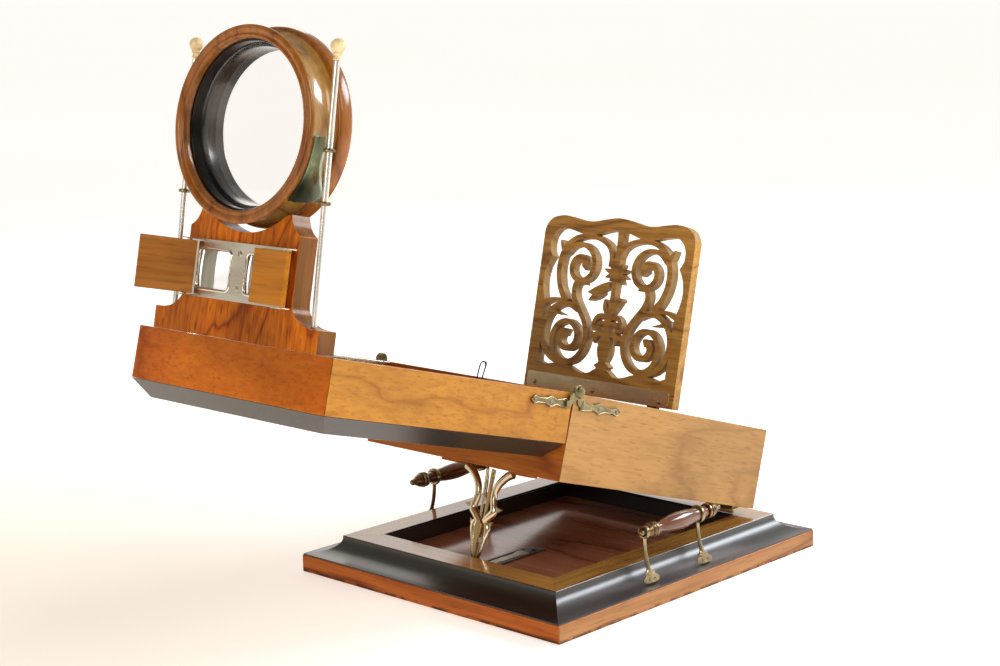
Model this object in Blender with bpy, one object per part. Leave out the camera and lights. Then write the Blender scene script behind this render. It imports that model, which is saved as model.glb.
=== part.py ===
"""Victorian table stereo graphoscope: a folding walnut viewer on an ebonised base.

Metres, +Z up, front towards -Y. The origin is the centre of the base's underside.
"""
import math

import bmesh
import bpy
from mathutils import Matrix, Vector

# ---------------------------------------------------------------- driving dimensions
GAP = 0.0003                # clearance between pieces that touch

BASE_X = 0.180              # half width of the base
BASE_Y = 0.206              # half depth of the base
PLATE_T = 0.018             # thickness of the base plate
RIM_TOP = 0.0376            # height of the rim's flat top
COVE_IN = 0.0307            # how far the cavetto runs in from the plate's edge
RIM_IN = 0.0636             # inner edge of the rim, from the plate's edge
FLOOR_TOP = 0.0195          # top of the recess floor
TRACK_TOP = 0.0208          # top of the metal track plate

BOX_X = 0.1336              # half width of the box
WALL = 0.009                # thickness of every box wall
BOX_L = 0.3248              # length of the rear box
BOX_H = 0.0855              # height of the rear box
BOX_TILT = math.radians(16.742)
BOX_AXIS = (0.0, 0.16354, 0.04144)
BOX_CORNER = (-0.0038, 0.0007)      # rear bottom edge of the box, (y, z) from its axis
BOTTOM_UP = 0.018           # the rear box's bottom panel stands this far above its lower edge

LENS_L = 0.3132             # length of the lens half
LENS_H = 0.0487             # height of its walnut walls
LENS_GAP = 0.0019           # gap to the rear box at the fold
LENS_TILT = math.radians(15.001)
FOLD_BACK = 0.0020          # fold axis behind the joint
FOLD_UP = 0.0015            # fold axis above the rim
BEVEL_IN = 0.0144
BEVEL_H = 0.0159

BOARD_U = 0.3140            # lens board's front face, from the joint
BOARD_T = 0.0205
BOARD_LEAN = math.radians(2.862)
FOOT_X = 0.1121
FOOT_H = 0.0202
CHEEK_X = 0.0747
CHEEK_LOW = 0.0403
CHEEK_TOP = 0.0967
HEAD_X = 0.0605
HEAD_TOP = 0.1147
SADDLE_Z = 0.1858           # centre of the round saddle in the board's top
SADDLE_R = 0.0906

EYE_X = 0.033               # stereo lenses, half their spacing
WINDOW_X = 0.0234
WINDOW_Z0 = 0.0405
WINDOW_Z1 = 0.0776
EYE_PLATE_X = 0.068
EYE_PLATE_Z0 = 0.0337
EYE_PLATE_Z1 = 0.0855
FLAP_PIN_X = {"left": 0.062, "right": 0.069}
FLAP_PIN_Y = -0.0112
FLAP_W = 0.0513
FLAP_TAIL = 0.0085
FLAP_T = 0.005
FLAP_REST = {"left": math.radians(-125.0), "right": math.radians(-7.5)}

ROD_X = 0.0958
ROD_R = 0.00275
ROD_Y = 0.00933
ROD_L = 0.2265
ROD_LEAN = math.radians(2.748)
RING_UP = 0.1684            # ring's centre, along the rods
RING_YAW = math.radians(3.3)

PANEL_U = 0.2014            # panel's pivot edge, behind the joint
PANEL_UP = 0.0029
PANEL_T = 0.0108
PANEL_LEAN = math.radians(3.24)
PANEL_X = 0.104
PANEL_SHIFT = 0.0015

STRUT_AXIS = (0.0, -0.1323, 0.0255)
STRUT_LEAN = math.radians(16.1)
STRUT_TOP = 0.1005
STRUT_T = 0.005

HANDLE_X = 0.1584
HANDLE_Z = 0.0702
HANDLE_Y = 0.0025
HANDLE_TIP = 0.0646

# ---------------------------------------------------------------- clean scene
for old in list(bpy.data.objects):
    bpy.data.objects.remove(old, do_unlink=True)


# ---------------------------------------------------------------- materials
def material(name, colour, roughness, metallic=0.0, alpha=1.0):
    mat = bpy.data.materials.new(name)
    mat.use_nodes = True
    shader = mat.node_tree.nodes["Principled BSDF"]
    shader.inputs["Base Color"].default_value = (*colour, 1.0)
    shader.inputs["Roughness"].default_value = roughness
    shader.inputs["Metallic"].default_value = metallic
    shader.inputs["Alpha"].default_value = alpha
    return mat


WALNUT = material("walnut", (0.42, 0.20, 0.07), 0.35)
FIGURED = material("figured_walnut", (0.34, 0.12, 0.03), 0.32)
MAHOGANY = material("mahogany", (0.10, 0.025, 0.01), 0.2)
EBONISED = material("ebonised", (0.02, 0.016, 0.014), 0.22)
NICKEL = material("nickel", (0.62, 0.58, 0.52), 0.22, 1.0)
BRASS = material("brass", (0.55, 0.42, 0.20), 0.3, 1.0)
AGED_BRASS = material("aged_brass", (0.25, 0.20, 0.10), 0.4, 1.0)
BONE = material("bone", (0.85, 0.68, 0.36), 0.4)
GLASS = material("glass", (0.95, 0.97, 0.96), 0.03, 0.0, 0.25)
GRIP = material("grip_wood", (0.16, 0.05, 0.02), 0.25)


# ---------------------------------------------------------------- mesh helpers
def link(name, mesh, mat, parent=None, location=(0, 0, 0), rotation=(0, 0, 0)):
    obj = bpy.data.objects.new(name, mesh)
    mesh.materials.append(mat)
    bpy.context.scene.collection.objects.link(obj)
    obj.parent = parent
    obj.location = location
    obj.rotation_euler = rotation
    return obj


def finish(name, bm, mat, parent=None, location=(0, 0, 0), rotation=(0, 0, 0), smooth=False):
    bmesh.ops.recalc_face_normals(bm, faces=bm.faces)
    mesh = bpy.data.meshes.new(name)
    bm.to_mesh(mesh)
    bm.free()
    if smooth:
        mesh.shade_smooth()
        mesh.set_sharp_from_angle(angle=math.radians(35))
    return link(name, mesh, mat, parent, location, rotation)


def empty(name, parent, location, rotation=(0, 0, 0)):
    obj = bpy.data.objects.new(name, None)
    bpy.context.scene.collection.objects.link(obj)
    obj.parent = parent
    obj.location = location
    obj.rotation_euler = rotation
    return obj


def block(name, low, high, mat, parent=None, bevel=0.0, **place):
    """A box between two corners, with an optional small chamfer."""
    bm = bmesh.new()
    bmesh.ops.create_cube(bm, size=1.0)
    size = [b - a for a, b in zip(low, high)]
    middle = [(a + b) / 2 for a, b in zip(low, high)]
    bmesh.ops.scale(bm, vec=size, verts=bm.verts)
    bmesh.ops.translate(bm, vec=middle, verts=bm.verts)
    if bevel:
        bmesh.ops.bevel(bm, geom=bm.edges[:], offset=bevel, segments=1, affect="EDGES")
    return finish(name, bm, mat, parent, **place)


def place_point(plane, a, b, c):
    """A point from its outline coordinates (a, b) and its depth c."""
    if plane == "XZ":
        return Vector((a, c, b))
    if plane == "YZ":
        return Vector((c, a, b))
    return Vector((a, b, c))


def prism(name, outline, depth, mat, parent=None, plane="XZ", **place):
    """An outline extruded between the two values of depth."""
    bm = bmesh.new()
    rows = []
    for c in depth:
        rows.append([bm.verts.new(place_point(plane, a, b, c)) for a, b in outline])
    count = len(outline)
    bm.faces.new(rows[0])
    bm.faces.new(rows[1])
    for i in range(count):
        j = (i + 1) % count
        bm.faces.new((rows[0][i], rows[0][j], rows[1][j], rows[1][i]))
    return finish(name, bm, mat, parent, **place)


def turned(name, profile, mat, parent=None, sides=24, axis="Z", **place):
    """A solid of revolution. The profile lists (radius, height); without points on the axis
    it is a closed loop and makes a ring."""
    bm = bmesh.new()
    rows = []
    for radius, height in profile:
        if radius < 1e-7:
            rows.append([bm.verts.new((0, 0, height))])
            continue
        ring = []
        for k in range(sides):
            angle = 2 * math.pi * k / sides
            ring.append(bm.verts.new((radius * math.cos(angle), radius * math.sin(angle), height)))
        rows.append(ring)
    pairs = list(zip(rows, rows[1:]))
    if len(rows[0]) > 1 and len(rows[-1]) > 1:
        pairs.append((rows[-1], rows[0]))
    for low, high in pairs:
        for k in range(sides):
            n = (k + 1) % sides
            if len(low) == 1:
                bm.faces.new((low[0], high[n], high[k]))
            elif len(high) == 1:
                bm.faces.new((low[k], low[n], high[0]))
            else:
                bm.faces.new((low[k], low[n], high[n], high[k]))
    if axis == "Y":
        bmesh.ops.rotate(bm, matrix=Matrix.Rotation(math.radians(-90), 3, "X"), verts=bm.verts)
    if axis == "X":
        bmesh.ops.rotate(bm, matrix=Matrix.Rotation(math.radians(90), 3, "Y"), verts=bm.verts)
    return finish(name, bm, mat, parent, smooth=True, **place)


def cylinder(name, radius, low, high, mat, parent=None, sides=16, axis="Z", **place):
    return turned(name, [(0, low), (radius, low), (radius, high), (0, high)], mat, parent,
                  sides, axis, **place)


def combine(target, tools, operation):
    """Cuts the tools from the target, or joins them to it, and keeps the tools out of the model."""
    for tool in tools:
        mod = target.modifiers.new(operation.lower(), "BOOLEAN")
        mod.operation = operation
        mod.solver = "EXACT"
        mod.object = tool
        tool.hide_render = True
        tool.display_type = "WIRE"
    return target


def arc(cx, cz, rx, rz, start, end, steps):
    """Points on an ellipse between two angles in degrees."""
    points = []
    for k in range(steps + 1):
        angle = math.radians(start + (end - start) * k / steps)
        points.append((cx + rx * math.cos(angle), cz + rz * math.sin(angle)))
    return points


def rounded_rectangle(x0, z0, x1, z1, radius, steps=3):
    points = arc(x1 - radius, z1 - radius, radius, radius, 0, 90, steps)
    points += arc(x0 + radius, z1 - radius, radius, radius, 90, 180, steps)
    points += arc(x0 + radius, z0 + radius, radius, radius, 180, 270, steps)
    points += arc(x1 - radius, z0 + radius, radius, radius, 270, 360, steps)
    return points


def smooth_line(points, steps):
    """A smooth open curve through the points, each a tuple of any length."""
    line = []
    last = len(points) - 1
    for i in range(last):
        p0 = points[max(i - 1, 0)]
        p1 = points[i]
        p2 = points[i + 1]
        p3 = points[min(i + 2, last)]
        for k in range(steps):
            t = k / steps
            row = []
            for a, b, c, d in zip(p0, p1, p2, p3):
                row.append(0.5 * (2 * b + (c - a) * t + (2 * a - 5 * b + 4 * c - d) * t * t
                                  + (3 * b - a - 3 * c + d) * t * t * t))
            line.append(tuple(row))
    line.append(tuple(points[last]))
    return line


def band(name, points, depth, mat, parent=None, plane="XZ", steps=3, **place):
    """A flat curved band: points are (a, b, half width), joined by a smooth line."""
    line = smooth_line(points, steps)
    bm = bmesh.new()
    rows = []
    for i, (a, b, half) in enumerate(line):
        before = line[max(i - 1, 0)]
        after = line[min(i + 1, len(line) - 1)]
        along = Vector((after[0] - before[0], after[1] - before[1])).normalized()
        side = Vector((-along.y, along.x)) * half
        row = []
        for sign, c in ((1, depth[0]), (-1, depth[0]), (-1, depth[1]), (1, depth[1])):
            row.append(bm.verts.new(place_point(plane, a + sign * side.x, b + sign * side.y, c)))
        rows.append(row)
    bm.faces.new(rows[0])
    bm.faces.new(rows[-1])
    for low, high in zip(rows, rows[1:]):
        for i in range(4):
            j = (i + 1) % 4
            bm.faces.new((low[i], low[j], high[j], high[i]))
    return finish(name, bm, mat, parent, **place)


def mitred_rail(name, side, half_x, half_y, profile, mat, parent, centre):
    """One of four rails of a rectangular frame. The profile lists (distance in from the
    outside, height); the ends are cut at 45 degrees."""
    bm = bmesh.new()
    mitre = GAP * 0.75
    rows = []
    for end in (-1, 1):
        row = []
        for d, z in profile:
            if side in ("front", "rear"):
                sign = -1 if side == "front" else 1
                x = end * (half_x - d - mitre)
                y = sign * (half_y - d)
            else:
                sign = -1 if side == "left" else 1
                x = sign * (half_x - d)
                y = end * (half_y - d - mitre)
            row.append(bm.verts.new((centre[0] + x, centre[1] + y, centre[2] + z)))
        rows.append(row)
    bm.faces.new(rows[0])
    bm.faces.new(rows[1])
    count = len(profile)
    for i in range(count):
        j = (i + 1) % count
        bm.faces.new((rows[0][i], rows[0][j], rows[1][j], rows[1][i]))
    return finish(name, bm, mat, parent)


def ring_frame(name, half_x, half_y, profile, mat, parent, centre):
    """A whole rectangular frame of one profile, as a single piece."""
    bm = bmesh.new()
    rows = []
    for sx, sy in ((-1, -1), (1, -1), (1, 1), (-1, 1)):
        rows.append([bm.verts.new((centre[0] + sx * (half_x - d), centre[1] + sy * (half_y - d),
                                   centre[2] + z)) for d, z in profile])
    for low, high in zip(rows, rows[1:] + rows[:1]):
        for i in range(len(profile)):
            j = (i + 1) % len(profile)
            bm.faces.new((low[i], low[j], high[j], high[i]))
    return finish(name, bm, mat, parent)


def mirror_x(points):
    return [(-p[0], *p[1:]) for p in points]


# ---------------------------------------------------------------- base
def cavetto_profile():
    """Flat at the plate's edge, then sweeping up to the rim, with a small rebate inside."""
    low = PLATE_T + GAP
    start = 0.001
    lip = 0.0020
    foot = low + 0.0012
    rise = RIM_TOP - lip - foot
    run = COVE_IN - start
    points = [(start, low), (start, foot)]
    for k in range(1, 8):
        t = math.sin(math.radians(90 * k / 7))
        points.append((start + run * t, foot + rise * (1 - math.sqrt(max(0.0, 1 - t * t)))))
    points += [(COVE_IN, RIM_TOP), (RIM_IN - 0.002, RIM_TOP), (RIM_IN - 0.002, RIM_TOP - 0.0016),
               (RIM_IN, RIM_TOP - 0.0016), (RIM_IN, low)]
    return points


def build_base():
    block("base_plate", (-BASE_X, -BASE_Y, 0.0), (BASE_X, BASE_Y, PLATE_T), WALNUT, bevel=0.0008)
    for side in ("front", "rear", "left", "right"):
        mitred_rail("base_moulding_" + side, side, BASE_X, BASE_Y, cavetto_profile(), EBONISED,
                    None, (0, 0, 0))
    inside_x = BASE_X - RIM_IN - GAP
    inside_y = BASE_Y - RIM_IN - GAP
    block("recess_floor", (-inside_x, -inside_y, PLATE_T + GAP), (inside_x, inside_y, FLOOR_TOP),
          MAHOGANY)
    outline = rounded_rectangle(-0.011, STRUT_AXIS[1] - 0.006, 0.011, -0.036, 0.003)
    prism("track_plate", outline, (FLOOR_TOP + GAP, TRACK_TOP), NICKEL, plane="XY")


def build_strut_bracket():
    """Two lugs on the track plate, joined by the strut's pin."""
    y = STRUT_AXIS[1]
    z = STRUT_AXIS[2]
    foot_z = TRACK_TOP + GAP
    pin = cylinder("strut_bracket", 0.0015, -0.0078, 0.0078, BRASS, axis="X", sides=12,
                   location=STRUT_AXIS)
    lugs = []
    for sign in (-1, 1):
        lug = [(y - 0.0045, foot_z), (y + 0.0045, foot_z), (y + 0.0045, z)]
        lug += arc(y, z, 0.0042, 0.0042, 10, 170, 5)
        lug += [(y - 0.0045, z)]
        cut = prism("cut_lug_%d" % sign, lug, (sign * 0.0064, sign * 0.0084), BRASS, plane="YZ")
        foot = block("cut_lug_foot_%d" % sign, (min(sign * 0.0075, sign * 0.0108), y - 0.0043, foot_z),
                     (max(sign * 0.0075, sign * 0.0108), y + 0.0043, foot_z + 0.0013), BRASS)
        lugs += [cut, foot]
    combine(pin, lugs, "UNION")


def build_box_hinge(name, x):
    """Leaf on the rim with a knuckle on the box's axis."""
    y = BOX_AXIS[1]
    z = BOX_AXIS[2]
    knuckle = cylinder(name, 0.0021, -0.014, 0.014, AGED_BRASS, axis="X", sides=12,
                       location=(x, y, z))
    low = RIM_TOP + GAP
    leaf = block("cut_leaf_" + name, (x - 0.0139, y - 0.0012, low), (x + 0.0139, y + 0.011, low + 0.0012),
                 AGED_BRASS)
    web = block("cut_web_" + name, (x - 0.0137, y - 0.0008, low + 0.0006), (x + 0.0137, y + 0.0012, z),
                AGED_BRASS)
    combine(knuckle, [leaf, web], "UNION")


def cavetto_height(x):
    """Height of the cavetto's surface at a distance x from the base's middle."""
    d = BASE_X - x
    t = (d - 0.001) / (COVE_IN - 0.001)
    foot = PLATE_T + GAP + 0.0012
    return foot + (RIM_TOP - 0.002 - foot) * (1 - math.sqrt(max(0.0, 1 - t * t)))


def build_post(name, parent, y, ring_inner):
    """Brass post: a ring round the bar, a thin leg leaning outwards, and a flared foot."""
    ring = turned(name, [(ring_inner, y - 0.0024), (ring_inner + 0.0016, y - 0.0024),
                         (ring_inner + 0.0022, y), (ring_inner + 0.0016, y + 0.0024),
                         (ring_inner, y + 0.0024)], BRASS, parent, sides=16, axis="Y")
    drop = HANDLE_Z - cavetto_height(HANDLE_X + 0.010) - 0.0012
    out = 0.0100
    rows = [(0.0, 0.0020), (0.25, 0.0021), (0.62, 0.0024), (0.80, 0.0034), (0.90, 0.0058),
            (1.0, 0.0085)]
    bm = bmesh.new()
    loops = []
    start = ring_inner + 0.0009
    for share, half in rows:
        x = out * share ** 2
        z = -start - (drop - start) * share
        thick = 0.0013 + 0.0007 * share ** 3
        loops.append([bm.verts.new((x - thick, y - half, z)), bm.verts.new((x + thick, y - half, z)),
                      bm.verts.new((x + thick, y + half, z)), bm.verts.new((x - thick, y + half, z))])
    bm.faces.new(loops[0])
    bm.faces.new(loops[-1])
    for low, high in zip(loops, loops[1:]):
        for i in range(4):
            j = (i + 1) % 4
            bm.faces.new((low[i], low[j], high[j], high[i]))
    leg = finish("cut_leg_" + name, bm, BRASS, parent)
    combine(ring, [leg], "UNION")


def build_handle(side, turn):
    """Turned grip between two brass caps, on two posts; the pair is the same part turned round."""
    root = empty("handle_origin_" + side, None, (0, 0, 0), (0, 0, turn))
    bar = empty("handle_bar_" + side, root, (HANDLE_X, HANDLE_Y, HANDLE_Z))
    grip_end = 0.041
    grip = [(0, -grip_end), (0.0052, -grip_end), (0.0058, -0.034), (0.0078, -0.020), (0.0090, -0.006),
            (0.0086, 0.008), (0.0070, 0.021), (0.0066, 0.028), (0.0054, 0.036), (0.0052, grip_end),
            (0, grip_end)]
    turned("handle_grip_" + side, grip, GRIP, bar, sides=16, axis="Y")
    start = grip_end + GAP
    cap = [(0, start), (0.0078, start + 0.0004), (0.0080, start + 0.0024), (0.0056, start + 0.0034),
           (0.0082, start + 0.0046), (0.0080, start + 0.0070), (0.0042, start + 0.0084),
           (0.0042, 0.0602), (0.0052, 0.0608), (0.0044, 0.0622), (0.0018, 0.0638), (0, HANDLE_TIP)]
    turned("handle_cap_rear_" + side, cap, BRASS, bar, sides=12, axis="Y")
    turned("handle_cap_front_" + side, [(r, -h) for r, h in cap], BRASS, bar, sides=12, axis="Y")
    build_post("handle_post_front_" + side, bar, -0.0570, 0.0042 + GAP)
    build_post("handle_post_rear_" + side, bar, 0.0281, 0.0068 + GAP)


# ---------------------------------------------------------------- rear box
def box_y(u):
    """Local y of a point u behind the joint, in the rear box's frame."""
    return BOX_CORNER[0] - BOX_L + u


def box_z(v):
    """Local z of a point v above the rim, in the rear box's frame."""
    return BOX_CORNER[1] + BOX_H + v


def strap_outline(sign, shift, end):
    """Ornamental hinge strap: two swellings for screws, ending in a pointed knob."""
    z = -0.0108
    top = [(0.004, z + 0.0050), (0.012, z + 0.0042), (end * 0.36, z + 0.0026),
           (end * 0.50, z + 0.0056), (end * 0.62, z + 0.0028), (end * 0.82, z + 0.0026),
           (end * 0.91, z + 0.0043), (end, z)]
    outline = [(a, b) for a, b in top]
    outline += [(a, 2 * z - b) for a, b in reversed(top[:-1])]
    return [(sign * a + shift, b) for a, b in outline]


def build_rear_strap(side, sign, parent):
    """Strap and round eye on the rear box."""
    x0 = sign * (BOX_X + GAP)
    x1 = sign * (BOX_X + GAP + 0.002)
    centre_y = box_y(FOLD_BACK)
    centre_z = box_z(FOLD_UP)
    outline = [(a, box_z(b)) for a, b in strap_outline(1, box_y(0.006), 0.0640)]
    strap = prism("rear_strap_" + side, outline, (x0, x1), AGED_BRASS, parent, plane="YZ")
    eye = prism("cut_eye_" + side, arc(centre_y, centre_z, 0.0062, 0.0062, 0, 345, 23), (x0, x1),
                AGED_BRASS, parent, plane="YZ")
    neck = prism("cut_neck_" + side, [(centre_y - 0.001, centre_z), (centre_y + 0.0055, centre_z),
                                      (box_y(0.017), box_z(-0.0075)), (box_y(0.012), box_z(-0.0140)),
                                      (centre_y + 0.0035, box_z(-0.0105))],
                 (x0, x1), AGED_BRASS, parent, plane="YZ")
    bore = cylinder("cut_bore_" + side, 0.0018, -0.004, 0.004, AGED_BRASS, parent, 12, "X",
                    location=((x0 + x1) / 2, centre_y, centre_z))
    combine(strap, [neck, eye], "UNION")
    combine(strap, [bore], "DIFFERENCE")


def build_rear_box():
    body = empty("rear_box_axis", None, BOX_AXIS, (-BOX_TILT, 0, 0))
    centre = (0, box_y(BOX_L / 2), box_z(-BOX_H))
    walls = [(0, 0), (WALL, 0), (WALL, BOX_H), (0, BOX_H)]
    for side in ("front", "rear", "left", "right"):
        mat = FIGURED if side == "front" else WALNUT
        mitred_rail("rear_box_wall_" + side, side, BOX_X, BOX_L / 2, walls, mat, body, centre)
    inside = BOX_X - WALL - GAP
    low = box_z(-BOX_H) + BOTTOM_UP
    block("rear_box_bottom", (-inside, box_y(WALL + GAP), low),
          (inside, box_y(BOX_L - WALL - GAP), low + 0.006), WALNUT, body)
    rail_u = PANEL_U + 0.0006
    rail = block("panel_rail", (-inside, box_y(rail_u), box_z(-0.016)),
                 (inside, box_y(rail_u + 0.012), box_z(-GAP)), WALNUT, body)
    lugs = []
    for sign in (-1, 1):
        lugs.append(block("cut_rail_lug_%d" % sign, (sign * 0.070 - 0.007, box_y(rail_u), box_z(-0.004)),
                          (sign * 0.070 + 0.007, box_y(rail_u + 0.0045), box_z(0.0060)), WALNUT, body))
    combine(rail, lugs, "UNION")
    for side, sign in (("left", -1), ("right", 1)):
        build_rear_strap(side, sign, body)
    return body


def build_strut_rest(body):
    """Batten under the box that the strut's horns bear on, with a cleat at each end."""
    corner = Matrix.Rotation(BOX_TILT, 4, "X") @ (Vector(STRUT_AXIS) - Vector(BOX_AXIS))
    up = Vector((0, math.sin(STRUT_LEAN), math.cos(STRUT_LEAN)))
    up = Matrix.Rotation(BOX_TILT, 4, "X") @ up
    top = corner + up * STRUT_TOP
    ceiling = box_z(-BOX_H) + BOTTOM_UP - GAP
    face_y = top.y - STRUT_T / 2
    low = top.z + 0.0014
    rest = block("strut_rest", (-0.060, face_y - 0.009, low), (0.060, face_y + 0.0008, ceiling),
                 WALNUT, body)
    cleats = []
    for sign in (-1, 1):
        xs = sorted((sign * 0.0365, sign * 0.0595))
        cleats.append(block("cut_cleat_%d" % sign, (xs[0], face_y - 0.0085, box_z(-BOX_H) - 0.0040),
                            (xs[1], face_y + 0.0075, ceiling - 0.002), WALNUT, body))
    combine(rest, cleats, "UNION")


# ---------------------------------------------------------------- strut
def build_strut():
    """Lyre-shaped prop, hinged to the base at its foot; it stands in (x, z) of its own frame."""
    axis = empty("strut_axis", None, STRUT_AXIS, (-STRUT_LEAN, 0, 0))
    half = STRUT_T / 2
    deep = (-half, half)
    shield = [(-0.0060, -0.0005), (0.0060, -0.0005), (0.0062, 0.009), (0.0095, 0.026), (0.0130, 0.040),
              (0.0138, 0.0475), (0.0060, 0.0500), (0.0, 0.0465), (-0.0060, 0.0500),
              (-0.0138, 0.0475), (-0.0130, 0.040), (-0.0095, 0.026), (-0.0062, 0.009)]
    lyre = prism("strut_lyre", shield, deep, BRASS, axis)
    tools = []
    horn = [(0.0095, 0.044, 0.0030), (0.0142, 0.053, 0.0034), (0.0128, 0.060, 0.0034),
            (0.0108, 0.068, 0.0032), (0.0128, 0.077, 0.0035), (0.0190, 0.087, 0.0037),
            (0.0262, 0.094, 0.0036), (0.0310, STRUT_TOP - 0.0030, 0.0034)]
    spike = [(0.0135, 0.0520), (0.0262, 0.0588), (0.0145, 0.0605)]
    string = [(0.0020, 0.040), (0.0064, 0.040), (0.0064, STRUT_TOP - 0.002), (0.0030, STRUT_TOP - 0.002)]
    for sign in (-1, 1):
        points = horn if sign > 0 else mirror_x(horn)
        tools.append(band("cut_horn_%d" % sign, points, (-half * 0.96, half * 0.96), BRASS, axis))
        flat = spike if sign > 0 else mirror_x(spike)
        tools.append(prism("cut_spike_%d" % sign, flat, (-half * 0.7, half * 0.7), BRASS, axis))
        flat = string if sign > 0 else mirror_x(string)
        tools.append(prism("cut_string_%d" % sign, flat, (-half * 0.5, half * 0.9), BRASS, axis))
    tools.append(cylinder("cut_strut_eye", 0.0042, -0.0061, 0.0061, BRASS, axis, 16, "X"))
    combine(lyre, tools, "UNION")
    bore = cylinder("cut_strut_bore", 0.0018, -0.01, 0.01, BRASS, axis, 12, "X")
    combine(lyre, [bore], "DIFFERENCE")
    face = -half - GAP
    tongue = [(-0.0035, 0.0075), (0.0035, 0.0075), (0.0052, 0.024), (0.0062, 0.038), (0.0050, 0.0445),
              (-0.0050, 0.0445), (-0.0062, 0.038), (-0.0052, 0.024)]
    prism("strut_tongue", tongue, (face - 0.0036, face), AGED_BRASS, axis)


# ---------------------------------------------------------------- fretwork panel
def scroll_bands():
    """Right-hand scrolls of the panel: (x, z, half width) along each band."""
    main = [(0.0420, 0.1385, 0.0048), (0.0500, 0.1330, 0.0036), (0.0535, 0.1400, 0.0036),
            (0.0470, 0.1510, 0.0036), (0.0340, 0.1500, 0.0036), (0.0280, 0.1380, 0.0036),
            (0.0340, 0.1270, 0.0034), (0.0430, 0.1255, 0.0026)]
    outer = [(0.0030, 0.1500, 0.0040), (0.0100, 0.1610, 0.0036), (0.0280, 0.1690, 0.0036),
             (0.0480, 0.1655, 0.0038), (0.0660, 0.1530, 0.0042), (0.0745, 0.1350, 0.0042),
             (0.0725, 0.1150, 0.0044), (0.0600, 0.1010, 0.0044), (0.0440, 0.0900, 0.0042),
             (0.0310, 0.0750, 0.0038), (0.0270, 0.0560, 0.0038), (0.0360, 0.0390, 0.0038),
             (0.0530, 0.0340, 0.0040), (0.0660, 0.0440, 0.0040), (0.0680, 0.0600, 0.0040),
             (0.0590, 0.0720, 0.0040), (0.0450, 0.0700, 0.0042), (0.0415, 0.0590, 0.0046),
             (0.0500, 0.0545, 0.0048)]
    link_band = [(0.0290, 0.1565, 0.0030), (0.0480, 0.1590, 0.0034), (0.0650, 0.1560, 0.0036)]
    lower = [(0.0960, 0.0985, 0.0040), (0.0740, 0.0960, 0.0036), (0.0560, 0.0965, 0.0040)]
    left_of_ring = [(0.0560, 0.0930, 0.0038), (0.0760, 0.0860, 0.0040), (0.0865, 0.0680, 0.0040),
                    (0.0840, 0.0490, 0.0040), (0.0700, 0.0350, 0.0042), (0.0540, 0.0300, 0.0046)]
    hook = [(0.0560, 0.0990, 0.0036), (0.0490, 0.1080, 0.0034), (0.0455, 0.1175, 0.0034),
            (0.0395, 0.1190, 0.0030)]
    return [main, outer, link_band, lower, left_of_ring, hook]


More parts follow.
